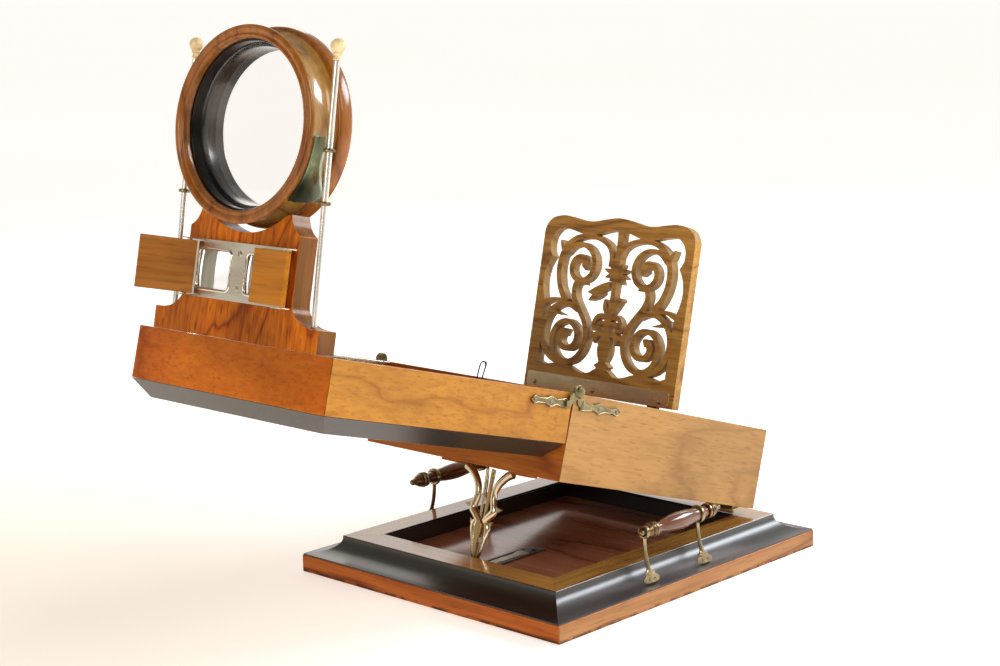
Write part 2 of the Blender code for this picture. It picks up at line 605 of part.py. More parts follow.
def build_fretwork(body):
    axis = empty("fretwork_axis", body, (PANEL_SHIFT, box_y(PANEL_U), box_z(PANEL_UP)),
                 (PANEL_LEAN, 0, 0))
    top = [(-0.0860, 0.1898), (-0.0760, 0.1905), (-0.0640, 0.1890), (-0.0500, 0.1868),
           (-0.0360, 0.1868), (-0.0200, 0.1898), (0.0, 0.1925)]
    top += [(-x, z) for x, z in reversed(top[:-1])]
    corner = arc(-PANEL_X + 0.019, 0.1705, 0.019, 0.0190, 180, 105, 4)
    outline = [(-PANEL_X, 0.0), *corner, *top, *[(-x, z) for x, z in reversed(corner)], (PANEL_X, 0.0)]
    panel = prism("fretwork_panel", outline, (-PANEL_T, 0.0), WALNUT, axis)
    window = [(-0.0905, 0.0270), (-0.0905, 0.0900), (-0.0930, 0.1050), (-0.0935, 0.1350),
              (-0.0900, 0.1460), (-0.0910, 0.1580), (-0.0860, 0.1700), (-0.0760, 0.1770),
              (-0.0620, 0.1775), (-0.0440, 0.1715), (-0.0280, 0.1705), (-0.0120, 0.1765),
              (0.0, 0.1800)]
    foot = [(0.0, 0.0300), (-0.0120, 0.0285), (-0.0200, 0.0250), (-0.0330, 0.0255),
            (-0.0480, 0.0295), (-0.0640, 0.0300), (-0.0780, 0.0270)]
    half = window + [(-x, z) for x, z in reversed(window[:-1])]
    floor = [(-x, z) for x, z in reversed(foot)] + foot[1:]
    hole = prism("cut_window", half + floor, (-PANEL_T - 0.002, 0.002), WALNUT, axis)
    combine(panel, [hole], "DIFFERENCE")
    tools = []
    for index, points in enumerate(scroll_bands()):
        trim = 0.00012 * (index + 1)
        for sign in (-1, 1):
            line = points if sign > 0 else mirror_x(points)
            tools.append(band("cut_scroll_%d_%d" % (index, sign), line,
                              (-PANEL_T + trim, -trim), WALNUT, axis, steps=2))
    deep = (-PANEL_T + 0.0009, -0.0009)
    stem = [(0.0, 0.1850, 0.0045), (0.0005, 0.1560, 0.0042), (0.0, 0.1360, 0.0060),
            (0.0030, 0.1180, 0.0040), (0.0, 0.0960, 0.0038), (0.0, 0.0700, 0.0050)]
    tools.append(band("cut_stem", stem, deep, WALNUT, axis, steps=2))
    flower = [(0.0, 0.1520), (0.0075, 0.1440), (0.0160, 0.1400), (0.0120, 0.1330), (0.0170, 0.1240),
              (0.0060, 0.1250), (0.0, 0.1180), (-0.0070, 0.1260), (-0.0150, 0.1290),
              (-0.0110, 0.1360), (-0.0170, 0.1410), (-0.0070, 0.1430)]
    tools.append(prism("cut_flower", flower, (-PANEL_T + 0.0007, -0.0007), WALNUT, axis))
    leaf = [(-0.0020, 0.1260), (-0.0300, 0.1160), (-0.0270, 0.1100), (-0.0330, 0.1040), (-0.0150, 0.1040),
            (-0.0090, 0.1130), (0.0, 0.1170)]
    tools.append(prism("cut_leaf", leaf, (-PANEL_T + 0.0011, -0.0011), WALNUT, axis))
    sprout = [(0.0010, 0.0900), (0.0080, 0.1060), (0.0170, 0.1050), (0.0110, 0.0930), (0.0070, 0.0850)]
    tools.append(prism("cut_sprout", sprout, (-PANEL_T + 0.0013, -0.0013), WALNUT, axis))
    for sign in (-1, 1):
        berry = [(sign * 0.0020, 0.0830, 0.0040), (sign * 0.0110, 0.0850, 0.0042),
                 (sign * 0.0180, 0.0780, 0.0042), (sign * 0.0130, 0.0680, 0.0040),
                 (sign * 0.0250, 0.0620, 0.0036)]
        tools.append(band("cut_berry_%d" % sign, berry, (-PANEL_T + 0.0015, -0.0015), WALNUT, axis, steps=2))
    vase = [(0.0, 0.0680, 0.0060), (0.0, 0.0580, 0.0072), (0.0, 0.0480, 0.0098), (0.0, 0.0395, 0.0070),
            (0.0, 0.0350, 0.0120), (0.0, 0.0290, 0.0100), (0.0, 0.0240, 0.0150)]
    tools.append(band("cut_vase", vase, (-PANEL_T + 0.0017, -0.0017), WALNUT, axis, steps=2))
    combine(panel, tools, "UNION")
    front = -PANEL_T - GAP
    ledge = rounded_rectangle(-0.0990, 0.0004, 0.0990, 0.0175, 0.0045)
    prism("ledge_plate", ledge, (front - 0.0015, front), AGED_BRASS, axis)


# ---------------------------------------------------------------- lens half
def lens_y(u):
    """Local y of a point u in front of the joint, in the lens half's frame."""
    return -0.00205 - u


def lens_z(v):
    """Local z of a point v above the rim, in the lens half's frame."""
    return -0.00144 + v


def build_front_strap(side, sign, parent):
    """Strap on the lens half, with a raised eye and the hinge pin."""
    x0 = sign * (BOX_X + GAP)
    x1 = sign * (BOX_X + GAP + 0.002)
    eye0 = sign * (BOX_X + 2 * GAP + 0.002)
    eye1 = sign * (BOX_X + 2 * GAP + 0.004)
    outline = [(a, lens_z(b)) for a, b in strap_outline(-1, lens_y(0.007), 0.0555)]
    strap = prism("front_strap_" + side, outline, (x0, x1), AGED_BRASS, parent, plane="YZ")
    riser = prism("cut_riser_" + side, [(-0.0095, -0.0020), (-0.0125, -0.0085), (-0.0170, -0.0100),
                                        (-0.0160, -0.0150), (-0.0095, -0.0150), (-0.0085, -0.0090)],
                  (x0 + sign * 0.0005, eye1), AGED_BRASS, parent, plane="YZ")
    bridge = prism("cut_bridge_" + side, [(-0.0010, 0.0030), (-0.0120, -0.0040), (-0.0140, -0.0120),
                                          (-0.0080, -0.0120), (0.0030, -0.0035)],
                   (eye0, eye1 - sign * 0.0002), AGED_BRASS, parent, plane="YZ")
    eye = turned("cut_front_eye_" + side, [(0, 0), (0.0062, 0), (0.0062, 0.0022), (0.0050, 0.0040),
                                           (0.0026, 0.0050), (0, 0.0053)], AGED_BRASS, parent, 24, "X",
                 location=(eye0, 0, 0), rotation=(0, 0, 0 if sign > 0 else math.pi))
    pin = cylinder("cut_pin_" + side, 0.0015, -0.0020, 0.0008, AGED_BRASS, parent, 12, "X",
                   location=(eye0, 0, 0), rotation=(0, 0, 0 if sign > 0 else math.pi))
    combine(strap, [riser, bridge, eye, pin], "UNION")


def build_lens_half(body):
    axis = empty("lens_half_axis", body, (0, box_y(FOLD_BACK), box_z(FOLD_UP)),
                 (BOX_TILT - LENS_TILT, 0, 0))
    half_y = (LENS_L - LENS_GAP) / 2
    centre = (0, lens_y(LENS_GAP + half_y), lens_z(-LENS_H))
    walls = [(0, 0), (WALL, 0), (WALL, LENS_H), (0, LENS_H)]
    for side in ("front", "rear", "left", "right"):
        mat = FIGURED if side == "front" else WALNUT
        mitred_rail("lens_half_wall_" + side, side, BOX_X, half_y, walls, mat, axis, centre)
    bevel = [(0.0002, -GAP), (BEVEL_IN, -BEVEL_H), (0.0205, -BEVEL_H), (0.0205, -GAP)]
    ring_frame("lens_half_bevel", BOX_X, half_y, bevel, EBONISED, axis, centre)
    inner_x = BOX_X - 0.0205 - GAP
    inner_y = half_y - 0.0205 - GAP
    block("lens_half_bottom", (-inner_x, centre[1] - inner_y, centre[2] - BEVEL_H),
          (inner_x, centre[1] + inner_y, centre[2] - BEVEL_H + 0.006), WALNUT, axis)
    for side, sign in (("left", -1), ("right", 1)):
        build_front_strap(side, sign, axis)
        xs = sorted((sign * 0.1085, sign * (BOX_X - WALL - GAP)))
        block("slide_rail_" + side, (xs[0], lens_y(0.3030), lens_z(-0.0060)),
              (xs[1], lens_y(0.0120), lens_z(-GAP)), NICKEL, axis)
    return axis


def build_card_slide(axis):
    """Cross bar under the rails with a bent wire clip for the stereo card."""
    slide = empty("card_slide_origin", axis, (0, lens_y(0.0200), lens_z(-0.0063)))
    block("card_slide", (-0.1232, -0.0065, -0.0125), (0.1232, 0.0065, -0.0002), WALNUT, slide,
          bevel=0.0006)
    tall = 0.0226
    path = [(-0.0035, 0.0, 0.0001), (-0.0034, 0.0, 0.010), (-0.0026, 0.0, tall - 0.004),
            (-0.0016, 0.0012, tall - 0.0006), (-0.0004, 0.0030, tall), (0.0012, 0.0040, tall - 0.0040),
            (0.0024, 0.0030, tall - 0.0006), (0.0034, 0.0010, tall - 0.0016),
            (0.0040, 0.0, tall - 0.006), (0.0042, 0.0, 0.010), (0.0042, 0.0, 0.0001)]
    curve = bpy.data.curves.new("card_clip", "CURVE")
    curve.dimensions = "3D"
    curve.bevel_depth = 0.0006
    curve.bevel_resolution = 1
    curve.use_fill_caps = True
    spline = curve.splines.new("POLY")
    line = smooth_line(path, 2)
    spline.points.add(len(line) - 1)
    for point, (x, y, z) in zip(spline.points, line):
        point.co = (x, y, z, 1.0)
    curve.materials.append(NICKEL)
    clip = bpy.data.objects.new("card_clip", curve)
    bpy.context.scene.collection.objects.link(clip)
    clip.parent = slide
    clip.location = (0.0225, 0.0, 0.0)


# ---------------------------------------------------------------- lens board
def board_outline():
    """Foot, cavetto, straight cheeks, chamfered head and round saddle, right half then left."""
    right = [(FOOT_X, 0.0), (FOOT_X, FOOT_H), (0.1035, FOOT_H + 0.0002)]
    right += arc(0.1035, CHEEK_LOW, 0.1035 - CHEEK_X, CHEEK_LOW - FOOT_H - 0.0004, 255, 180, 6)
    right += [(CHEEK_X, CHEEK_TOP), (HEAD_X, HEAD_TOP)]
    reach = math.degrees(math.acos((SADDLE_Z - HEAD_TOP) / SADDLE_R))
    saddle = arc(0.0, SADDLE_Z, SADDLE_R, SADDLE_R, -90 + reach, -90 - reach, 16)
    left = [(-x, z) for x, z in reversed(right)]
    return right + saddle + left


def build_lens_board(axis):
    board = empty("lens_board_origin", axis, (0, lens_y(BOARD_U), lens_z(GAP)), (BOARD_LEAN, 0, 0))
    body = prism("lens_board", board_outline(), (0.0, BOARD_T), FIGURED, board)
    holes = []
    for sign in (-1, 1):
        cx = sign * EYE_X
        outline = rounded_rectangle(cx - 0.0218, 0.0420, cx + 0.0218, 0.0761, 0.0003, 1)
        holes.append(prism("cut_eye_hole_%d" % sign, outline, (-0.01, 0.03), FIGURED, board))
    combine(body, holes, "DIFFERENCE")
    build_eye_plate(board)
    for side, sign in (("left", -1), ("right", 1)):
        build_eye_lens("eye_lens_" + side, sign * EYE_X, board)
        build_flap(side, sign, board)
    return board


def build_eye_plate(board):
    """Nickel plate with two windows, and tabs with studs that carry the flaps."""
    face = -GAP
    thick = 0.0015
    outline = rounded_rectangle(-EYE_PLATE_X, EYE_PLATE_Z0, EYE_PLATE_X, EYE_PLATE_Z1, 0.0015, 1)
    plate = prism("eye_plate", outline, (face - thick, face), NICKEL, board)
    cuts = []
    adds = []
    for side, sign in (("left", -1), ("right", 1)):
        cx = sign * EYE_X
        window = rounded_rectangle(cx - WINDOW_X, WINDOW_Z0, cx + WINDOW_X, WINDOW_Z1, 0.0055)
        cuts.append(prism("cut_window_%d" % sign, window, (-0.01, 0.01), NICKEL, board))
        px = sign * FLAP_PIN_X[side]
        for level, z0 in (("low", EYE_PLATE_Z0), ("high", EYE_PLATE_Z1 - 0.0012)):
            tag = "%s_%d" % (level, sign)
            adds.append(block("cut_tab_" + tag, (px - 0.0050, FLAP_PIN_Y - 0.0035, z0 + 0.0001),
                              (px + 0.0050, face - 0.0007, z0 + 0.0011), NICKEL, board))
            stud = (z0 + 0.0006, z0 + 0.0034) if level == "low" else (z0 - 0.0022, z0 + 0.0006)
            adds.append(cylinder("cut_stud_" + tag, 0.0011, stud[0], stud[1], NICKEL, board, 10,
                                 location=(px, FLAP_PIN_Y, 0)))
    combine(plate, cuts, "DIFFERENCE")
    combine(plate, adds, "UNION")


def build_eye_lens(name, cx, board):
    """Square-cut lens with a crowned front."""
    bm = bmesh.new()
    columns = 6
    rows = 5
    half_x = 0.0214
    half_z = 0.0167
    centre_z = 0.05905
    front = []
    back = []
    for j in range(rows + 1):
        front_row = []
        back_row = []
        for i in range(columns + 1):
            s = 2 * i / columns - 1
            t = 2 * j / rows - 1
            crown = 0.0022 * (1 - s * s) * (1 - t * t) + 0.0006 * (2 - s * s - t * t)
            point = (cx + half_x * s, 0.0016 - crown, centre_z + half_z * t)
            front_row.append(bm.verts.new(point))
            back_row.append(bm.verts.new((point[0], 0.0052, point[2])))
        front.append(front_row)
        back.append(back_row)
    for j in range(rows):
        for i in range(columns):
            for grid in (front, back):
                bm.faces.new((grid[j][i], grid[j][i + 1], grid[j + 1][i + 1], grid[j + 1][i]))
    for i in range(columns):
        for j in (0, rows):
            bm.faces.new((front[j][i], front[j][i + 1], back[j][i + 1], back[j][i]))
    for j in range(rows):
        for i in (0, columns):
            bm.faces.new((front[j][i], front[j + 1][i], back[j + 1][i], back[j][i]))
    finish(name, bm, GLASS, board, smooth=True)


def build_flap(side, sign, board):
    """Walnut flap on two studs. It is closed when its long end lies over the lens."""
    axis = empty("flap_axis_" + side, board, (sign * FLAP_PIN_X[side], FLAP_PIN_Y, 0.0), (0, 0, FLAP_REST[side]))
    z0 = 0.0357
    z1 = 0.0831
    xs = sorted((sign * FLAP_TAIL, -sign * (FLAP_W - FLAP_TAIL)))
    flap = block("flap_" + side, (xs[0], -FLAP_T / 2, z0), (xs[1], FLAP_T / 2, z1), WALNUT, axis,
                 bevel=0.0004)
    sockets = []
    for tag, low, high in (("low", z0 - 0.001, z0 + 0.0024), ("high", z1 - 0.0024, z1 + 0.001)):
        sockets.append(cylinder("cut_socket_%s_%s" % (side, tag), 0.0014, low, high, WALNUT, axis, 10))
    combine(flap, sockets, "DIFFERENCE")


# ---------------------------------------------------------------- magnifier
def build_rods(board):
    """Two nickel rods on the foot, with turned bone finials."""
    frame = empty("rod_origin", board, (0, ROD_Y, FOOT_H + GAP), (ROD_LEAN, 0, 0))
    for side, sign in (("left", -1), ("right", 1)):
        rod = [(0, 0.0018), (ROD_R, 0.0018), (ROD_R, ROD_L), (0, ROD_L)]
        turned("ring_rod_" + side, rod, NICKEL, frame, sides=12, location=(sign * ROD_X, 0, 0))
        base = ROD_L + GAP
        finial = [(0, base), (0.0033, base), (0.0040, base + 0.0018), (0.0028, base + 0.0042),
                  (0.0040, base + 0.0062), (0.0060, base + 0.0090), (0.0066, base + 0.0122),
                  (0.0055, base + 0.0158), (0.0030, base + 0.0180), (0, base + 0.0187)]
        turned("finial_" + side, finial, BONE, frame, sides=14, location=(sign * ROD_X, 0, 0))
    return frame


def build_magnifier(frame):
    carriage = empty("ring_origin", frame, (0, 0, RING_UP))
    skew = empty("ring_skew", carriage, (0, 0, 0), (0, 0, RING_YAW))
    wood = [(0.0752, -0.0120), (0.0749, -0.0178), (0.0764, -0.0200), (0.0795, -0.0207), (0.0840, -0.0201),
            (0.0874, -0.0182), (0.0886, -0.0154), (0.0872, -0.0128), (0.0846, -0.0112), (0.0812, -0.0062),
            (0.0802, 0.0), (0.0810, 0.0060), (0.0838, 0.0106), (0.0872, 0.0126), (0.0892, 0.0150),
            (0.0896, 0.0240), (0.0886, 0.0274), (0.0860, 0.0285), (0.0792, 0.0285), (0.0782, 0.0272),
            (0.0782, -0.0120)]
    turned("ring_body", wood, WALNUT, skew, sides=44, axis="Y")
    cell = [(0.0779, -0.0116), (0.0731, -0.0116), (0.0731, 0.0027), (0.0696, 0.0027), (0.0690, 0.0044),
            (0.0672, 0.0262), (0.0779, 0.0268)]
    turned("ring_cell", cell, EBONISED, skew, sides=44, axis="Y")
    edge = 0.0727
    crown = 0.0045
    lens = [(0, 0.0023), (edge, 0.0023), (edge, -0.0010)]
    for k in range(1, 6):
        share = 1 - k / 6
        lens.append((edge * share, -0.0010 - crown * (1 - share * share)))
    lens.append((0, -0.0010 - crown))
    turned("magnifier_lens", lens, GLASS, skew, sides=44, axis="Y")
    for side, sign in (("left", -1), ("right", 1)):
        build_ring_bracket("ring_bracket_" + side, sign, carriage)


def build_ring_bracket(name, sign, carriage):
    """Brass saddle plate between the ring's waist and the rod, with two sliding clips."""
    edge = 0.0925
    waist = 0.0818
    inner = arc(0, 0, waist, waist, -3, -48, 9)
    outline = inner + [(0.0545, -0.0640), (edge, -0.0640), (edge, -0.0040)]
    if sign < 0:
        outline = mirror_x(outline)
    plate = prism(name, outline, (-0.0015, 0.0015), BRASS, carriage)
    xs = sorted((sign * 0.0560, sign * edge))
    adds = [block("cut_flange_" + name, (xs[0], -0.0060, -0.0652), (xs[1], 0.0060, -0.0636), BRASS, carriage)]
    bores = []
    for tag, z in (("low", -0.0620), ("high", -0.0173)):
        xs = sorted((sign * (edge - 0.003), sign * (ROD_X + 0.0068)))
        adds.append(block("cut_clip_%s_%s" % (tag, name), (xs[0], -0.0052, z - 0.0011),
                          (xs[1], 0.0052, z + 0.0011), BRASS, carriage))
    bores.append(cylinder("cut_rod_bore_" + name, ROD_R + 0.0003, -0.09, 0.01, BRASS, carriage, 12,
                          location=(sign * ROD_X, 0, 0)))
    combine(plate, adds, "UNION")
    combine(plate, bores, "DIFFERENCE")


# ---------------------------------------------------------------- assembly
def main():
    build_base()
    build_strut_bracket()
    for side, sign in (("left", -1), ("right", 1)):
        build_box_hinge("box_hinge_" + side, sign * 0.090)
    build_handle("right", 0.0)
    build_handle("left", math.pi)
    rear_box = build_rear_box()
    build_strut_rest(rear_box)
    build_strut()
    build_fretwork(rear_box)
    lens_half = build_lens_half(rear_box)
    build_card_slide(lens_half)
    board = build_lens_board(lens_half)
    rods = build_rods(board)
    build_magnifier(rods)


main()
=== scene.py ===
"""The look of the stereo graphoscope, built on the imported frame. Metres, +Z up, front towards -Y."""

import math

import bmesh
import bpy
from mathutils import Matrix, Vector


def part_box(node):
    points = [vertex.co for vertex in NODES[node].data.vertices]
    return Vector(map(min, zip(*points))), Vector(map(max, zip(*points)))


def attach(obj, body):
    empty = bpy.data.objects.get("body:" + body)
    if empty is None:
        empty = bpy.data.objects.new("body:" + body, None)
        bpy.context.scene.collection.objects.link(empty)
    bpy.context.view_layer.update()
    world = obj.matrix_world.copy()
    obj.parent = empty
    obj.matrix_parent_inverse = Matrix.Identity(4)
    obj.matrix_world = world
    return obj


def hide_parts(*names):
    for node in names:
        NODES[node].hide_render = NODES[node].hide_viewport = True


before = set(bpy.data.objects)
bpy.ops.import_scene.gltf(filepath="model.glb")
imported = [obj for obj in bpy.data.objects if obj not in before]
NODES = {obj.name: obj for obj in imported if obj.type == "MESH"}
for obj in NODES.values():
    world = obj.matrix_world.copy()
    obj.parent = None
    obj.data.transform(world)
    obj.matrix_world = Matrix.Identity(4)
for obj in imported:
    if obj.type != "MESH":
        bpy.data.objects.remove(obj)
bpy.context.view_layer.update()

# ---- sizes shared with the model
GAP = 0.0003
BASE_X = 0.18
BASE_Y = 0.206
PLATE_T = 0.018
RIM_TOP = 0.0376
COVE_OUT = 0.001
COVE_IN = 0.0307
COVE_FOOT = PLATE_T + GAP + 0.0012
COVE_LIP = RIM_TOP - 0.002
RIM_IN = 0.0636
BOX_X = 0.1336
BOX_L = 0.3248
BOX_H = 0.0855
BOARD_T = 0.0205
FOOT_X = 0.1121
FOOT_H = 0.0202
CHEEK_X = 0.0747
CHEEK_LOW = 0.0403
CHEEK_TOP = 0.0967
HEAD_X = 0.0605
HEAD_TOP = 0.1147
SADDLE_Z = 0.1858
SADDLE_R = 0.0906
EYE_X = 0.033
ROD_X = 0.0958
ROD_R = 0.00275
ROD_L = 0.2265
PANEL_T = 0.0108
PANEL_X = 0.104
HANDLE_X = 0.1584
HANDLE_Z = 0.0702
STRAP_REAR = (-0.0038 - BOX_L + 0.006, 0.064)
STRAP_FRONT = (-0.00905, 0.0555)
STRAP_LINE = -0.0108
STRUT_FLATNESS = 0.74
RING_FIT = 0.9986
FLAP_FIT = 0.991
EYE_Z = 0.05905
WINDOW_X = 0.0218
WINDOW_LOW = 0.042
WINDOW_TOP = 0.0761
TRIM = 0.00003
ON_AXIS = 1e-7
BEVEL_FROM = math.radians(28)


def shift(x, y, z):
    return Matrix.Translation((x, y, z))


def turn(degrees, axis):
    return Matrix.Rotation(math.radians(degrees), 4, axis)


BASE = Matrix.Identity(4)
BOX = shift(0, 0.16354, 0.04144) @ turn(-16.742, "X")
LENS = BOX @ shift(0, -0.3266, 0.0877) @ turn(1.741, "X")
BOARD = LENS @ shift(0, -0.31605, -0.00114) @ turn(2.862, "X")
ROD = BOARD @ shift(0, 0.00933, FOOT_H + GAP) @ turn(2.748, "X")
CARRIAGE = ROD @ shift(0, 0, 0.1684)
RING = CARRIAGE @ turn(3.3, "Z")
PANEL = BOX @ shift(0.0015, -0.1272, 0.0891) @ turn(3.24, "X")
STRUT = shift(0, -0.1323, 0.0255) @ turn(-16.1, "X")
SLIDE = LENS @ shift(0, -0.02205, -0.00774)
HANDLE = {"right": shift(HANDLE_X, 0.0025, HANDLE_Z)}
HANDLE["left"] = turn(180, "Z") @ HANDLE["right"]
FLAP = {"left": BOARD @ shift(-0.062, -0.0112, 0) @ turn(-125, "Z"),
        "right": BOARD @ shift(0.069, -0.0112, 0) @ turn(-7.5, "Z")}
SIDES = (("left", -1), ("right", 1))


# ---- shader helpers
tree = None
TURN = {"X": (0, 0, 0), "Y": (0, 0, -math.pi / 2), "Z": (0, math.pi / 2, 0)}
STAIN_SIZE = 38.0
CRUST_SIZE = 60.0


def work_in(node_tree):
    """The helpers below add their nodes to this tree."""
    global tree
    tree = node_tree


def principled(name):
    mat = bpy.data.materials.new(name)
    mat.use_nodes = True
    work_in(mat.node_tree)
    return mat, tree.nodes["Principled BSDF"]


def feed(node, values):
    """Links or sets a node's inputs."""
    for key, value in values.items():
        if isinstance(value, bpy.types.NodeSocket):
            tree.links.new(value, node.inputs[key])
        else:
            node.inputs[key].default_value = value


def make(kind, values=None, **props):
    node = tree.nodes.new("ShaderNode" + kind)
    for key, value in props.items():
        setattr(node, key, value)
    feed(node, values or {})
    return node


def calc(operation, a, b, clamp=False):
    return make("Math", {0: a, 1: b}, operation=operation, use_clamp=clamp).outputs[0]


def times(a, b):
    return calc("MULTIPLY", a, b)


def vec(operation, a, b, out=0):
    return make("VectorMath", {0: a, 1: b}, operation=operation).outputs[out]


def scaled(vector, factor):
    return make("VectorMath", {0: vector, "Scale": factor}, operation="SCALE").outputs[0]


def span(value, low, high, to_low=0.0, to_high=1.0):
    """Maps low..high to to_low..to_high, clamped, with a soft start and end."""
    node = make("MapRange", {"Value": value, "From Min": low, "From Max": high,
                             "To Min": to_low, "To Max": to_high}, interpolation_type="SMOOTHSTEP")
    return node.outputs[0]


def mix(factor, a, b):
    """Colour a turning into colour b; a plain colour is given as three numbers."""
    a, b = ((*colour, 1) if isinstance(colour, tuple) else colour for colour in (a, b))
    return make("Mix", {0: factor, 6: a, 7: b}, data_type="RGBA").outputs[2]


def ramp(factor, stops):
    node = make("ValToRGB", {0: factor})
    band = node.color_ramp
    while len(band.elements) < len(stops):
        band.elements.new(0.5)
    for element, (place, colour) in zip(band.elements, stops):
        element.position = place
        element.color = (*colour, 1.0)
    return node.outputs[0]


def noise(vector, scale, detail=2.0, rough=0.5):
    values = {"Vector": vector, "Scale": scale, "Detail": detail, "Roughness": rough}
    return make("TexNoise", values).outputs["Fac"]


def stretch(vector, scale, move=(0, 0, 0), rotation=(0, 0, 0)):
    values = {"Vector": vector, "Scale": scale, "Location": move, "Rotation": rotation}
    return make("Mapping", values).outputs[0]


def drawn(vector, share):
    """The vector squeezed along the grain, which draws a texture out along it."""
    return stretch(vector, (share, 1, 1))


def grain_vector(where, grain, seed, move, tilt=0.0):
    """The place turned so that X runs along the grain, and moved by the seed."""
    x, y, z = TURN[grain]
    return stretch(where, (1, 1, 1), tuple(seed * step for step in move), (x, y, z + tilt))


def place_vector():
    return make("TexCoord").outputs["Object"]


def wear_mask(vector, amount, scale=120.0):
    """The bevelled edges, broken up by noise."""
    edge = make("Attribute", attribute_name="wear").outputs["Fac"]
    patch = span(noise(vector, scale, 3.0), 0.36, 0.66)
    return times(times(edge, patch), amount)


def bump(height, strength, distance):
    return make("Bump", {"Height": height, "Strength": strength, "Distance": distance}).outputs[0]


def darker(colour, factor):
    return tuple(c * factor for c in colour)


def wood(name, dark, mid, light, grain="X", seed=0.0, cells=9.0, rings=3.0, slope=0.2,
         fibre=0.3, pores=0.3, figure=0.8, blotch=0.12, rough=0.3, coat=0.3, scuff=None, tilt=0.0,
         stains=0.0, spec=0.35):
    """Polished wood: growth figure, fibres, pores, slow shading, stains and rubbed edges."""
    mat, shader = principled(name)
    where = place_vector()
    base = grain_vector(where, grain, seed, (0.371, 0.617, 0.829), tilt)
    bend = make("TexNoise", {"Vector": base, "Scale": 6.0, "Detail": 1.0}).outputs["Color"]
    bend = scaled(vec("SUBTRACT", bend, (0.5, 0.5, 0.5)), 0.05)
    wavy = vec("ADD", base, bend)
    slight = vec("ADD", base, scaled(bend, 0.06))
    growth = noise(drawn(wavy, slope), cells, 0.0, 0.4)
    growth = calc("ADD", growth, times(noise(drawn(slight, 0.08), 60.0, 1.0), 0.1))
    lines = times(calc("PINGPONG", times(growth, rings), 0.5), 2.0)
    thread = noise(drawn(slight, 0.03), 280.0)
    pore = span(noise(drawn(slight, 0.06), 560.0, 0.0), 0.62, 0.78)
    shade = noise(drawn(slight, 0.3), 14.0, 1.0, 0.4)
    vein = ramp(lines, [(0.0, dark), (0.16, mid), (0.55, light), (1.0, mid)])
    colour = mix(figure, mid, vein)
    colour = mix(span(thread, 0.38, 0.68, 0.0, fibre), colour, dark)
    colour = mix(times(pore, pores), colour, darker(dark, 0.5))
    if stains:
        spot = noise(drawn(base, 0.5), STAIN_SIZE, 3.0, 0.6)
        zone = span(noise(base, 9.0, 0.0), 0.45, 0.62)
        colour = mix(times(span(spot, 0.46, 0.68, 0.0, stains), zone), colour, darker(dark, 0.8))
    colour = scaled(colour, span(shade, 0.3, 0.7, 1.0 - blotch, 1.0 + blotch))
    if scuff:
        height = make("SeparateXYZ", {0: where}).outputs["Z"]
        low = span(height, *scuff, 1.0, 0.0)
        chips = span(noise(stretch(where, (1, 1, 2.0)), 60.0, 4.0, 0.65), 0.42, 0.52)
        colour = mix(times(low, chips), colour, darker(dark, 0.25))
    rub = wear_mask(where, 0.5)
    gloss = span(shade, 0.25, 0.75, rough - 0.03, rough + 0.05)
    gloss = calc("ADD", gloss, times(pore, 0.12))
    relief = calc("SUBTRACT", times(thread, 0.5), pore)
    feed(shader, {"Base Color": mix(rub, colour, darker(light, 1.3)),
                  "Roughness": calc("ADD", gloss, times(rub, 0.12), True),
                  "Coat Weight": coat, "Coat Roughness": 0.12, "Specular IOR Level": spec,
                  "Specular Tint": (1.0, 0.82, 0.62, 1), "Normal": bump(relief, 0.08, 0.0001)})
    return mat


def ebony(name, seed, grain="X", rough=0.22, brown=(0.075, 0.034, 0.016), shine=0.5, haze=0.22):
    """Black polish on wood, brown where it has rubbed through, with smears in the gloss."""
    mat, shader = principled(name)
    where = place_vector()
    base = grain_vector(where, grain, seed, (0.41, 0.73, 0.29))
    thread = noise(drawn(base, 0.03), 300.0, 1.0)
    smear = noise(drawn(base, 0.25), 14.0)
    colour = ramp(thread, [(0.3, (0.0055, 0.0045, 0.004)), (0.75, (0.013, 0.0095, 0.0075))])
    feed(shader, {"Base Color": mix(wear_mask(where, 0.7, 90.0), colour, brown),
                  "Roughness": span(smear, 0.3, 0.7, rough, rough + 0.06),
                  "Coat Weight": shine, "Coat Roughness": haze,
                  "Specular Tint": (1.0, 0.88, 0.72, 1), "Normal": bump(thread, 0.02, 0.0001)})
    return mat


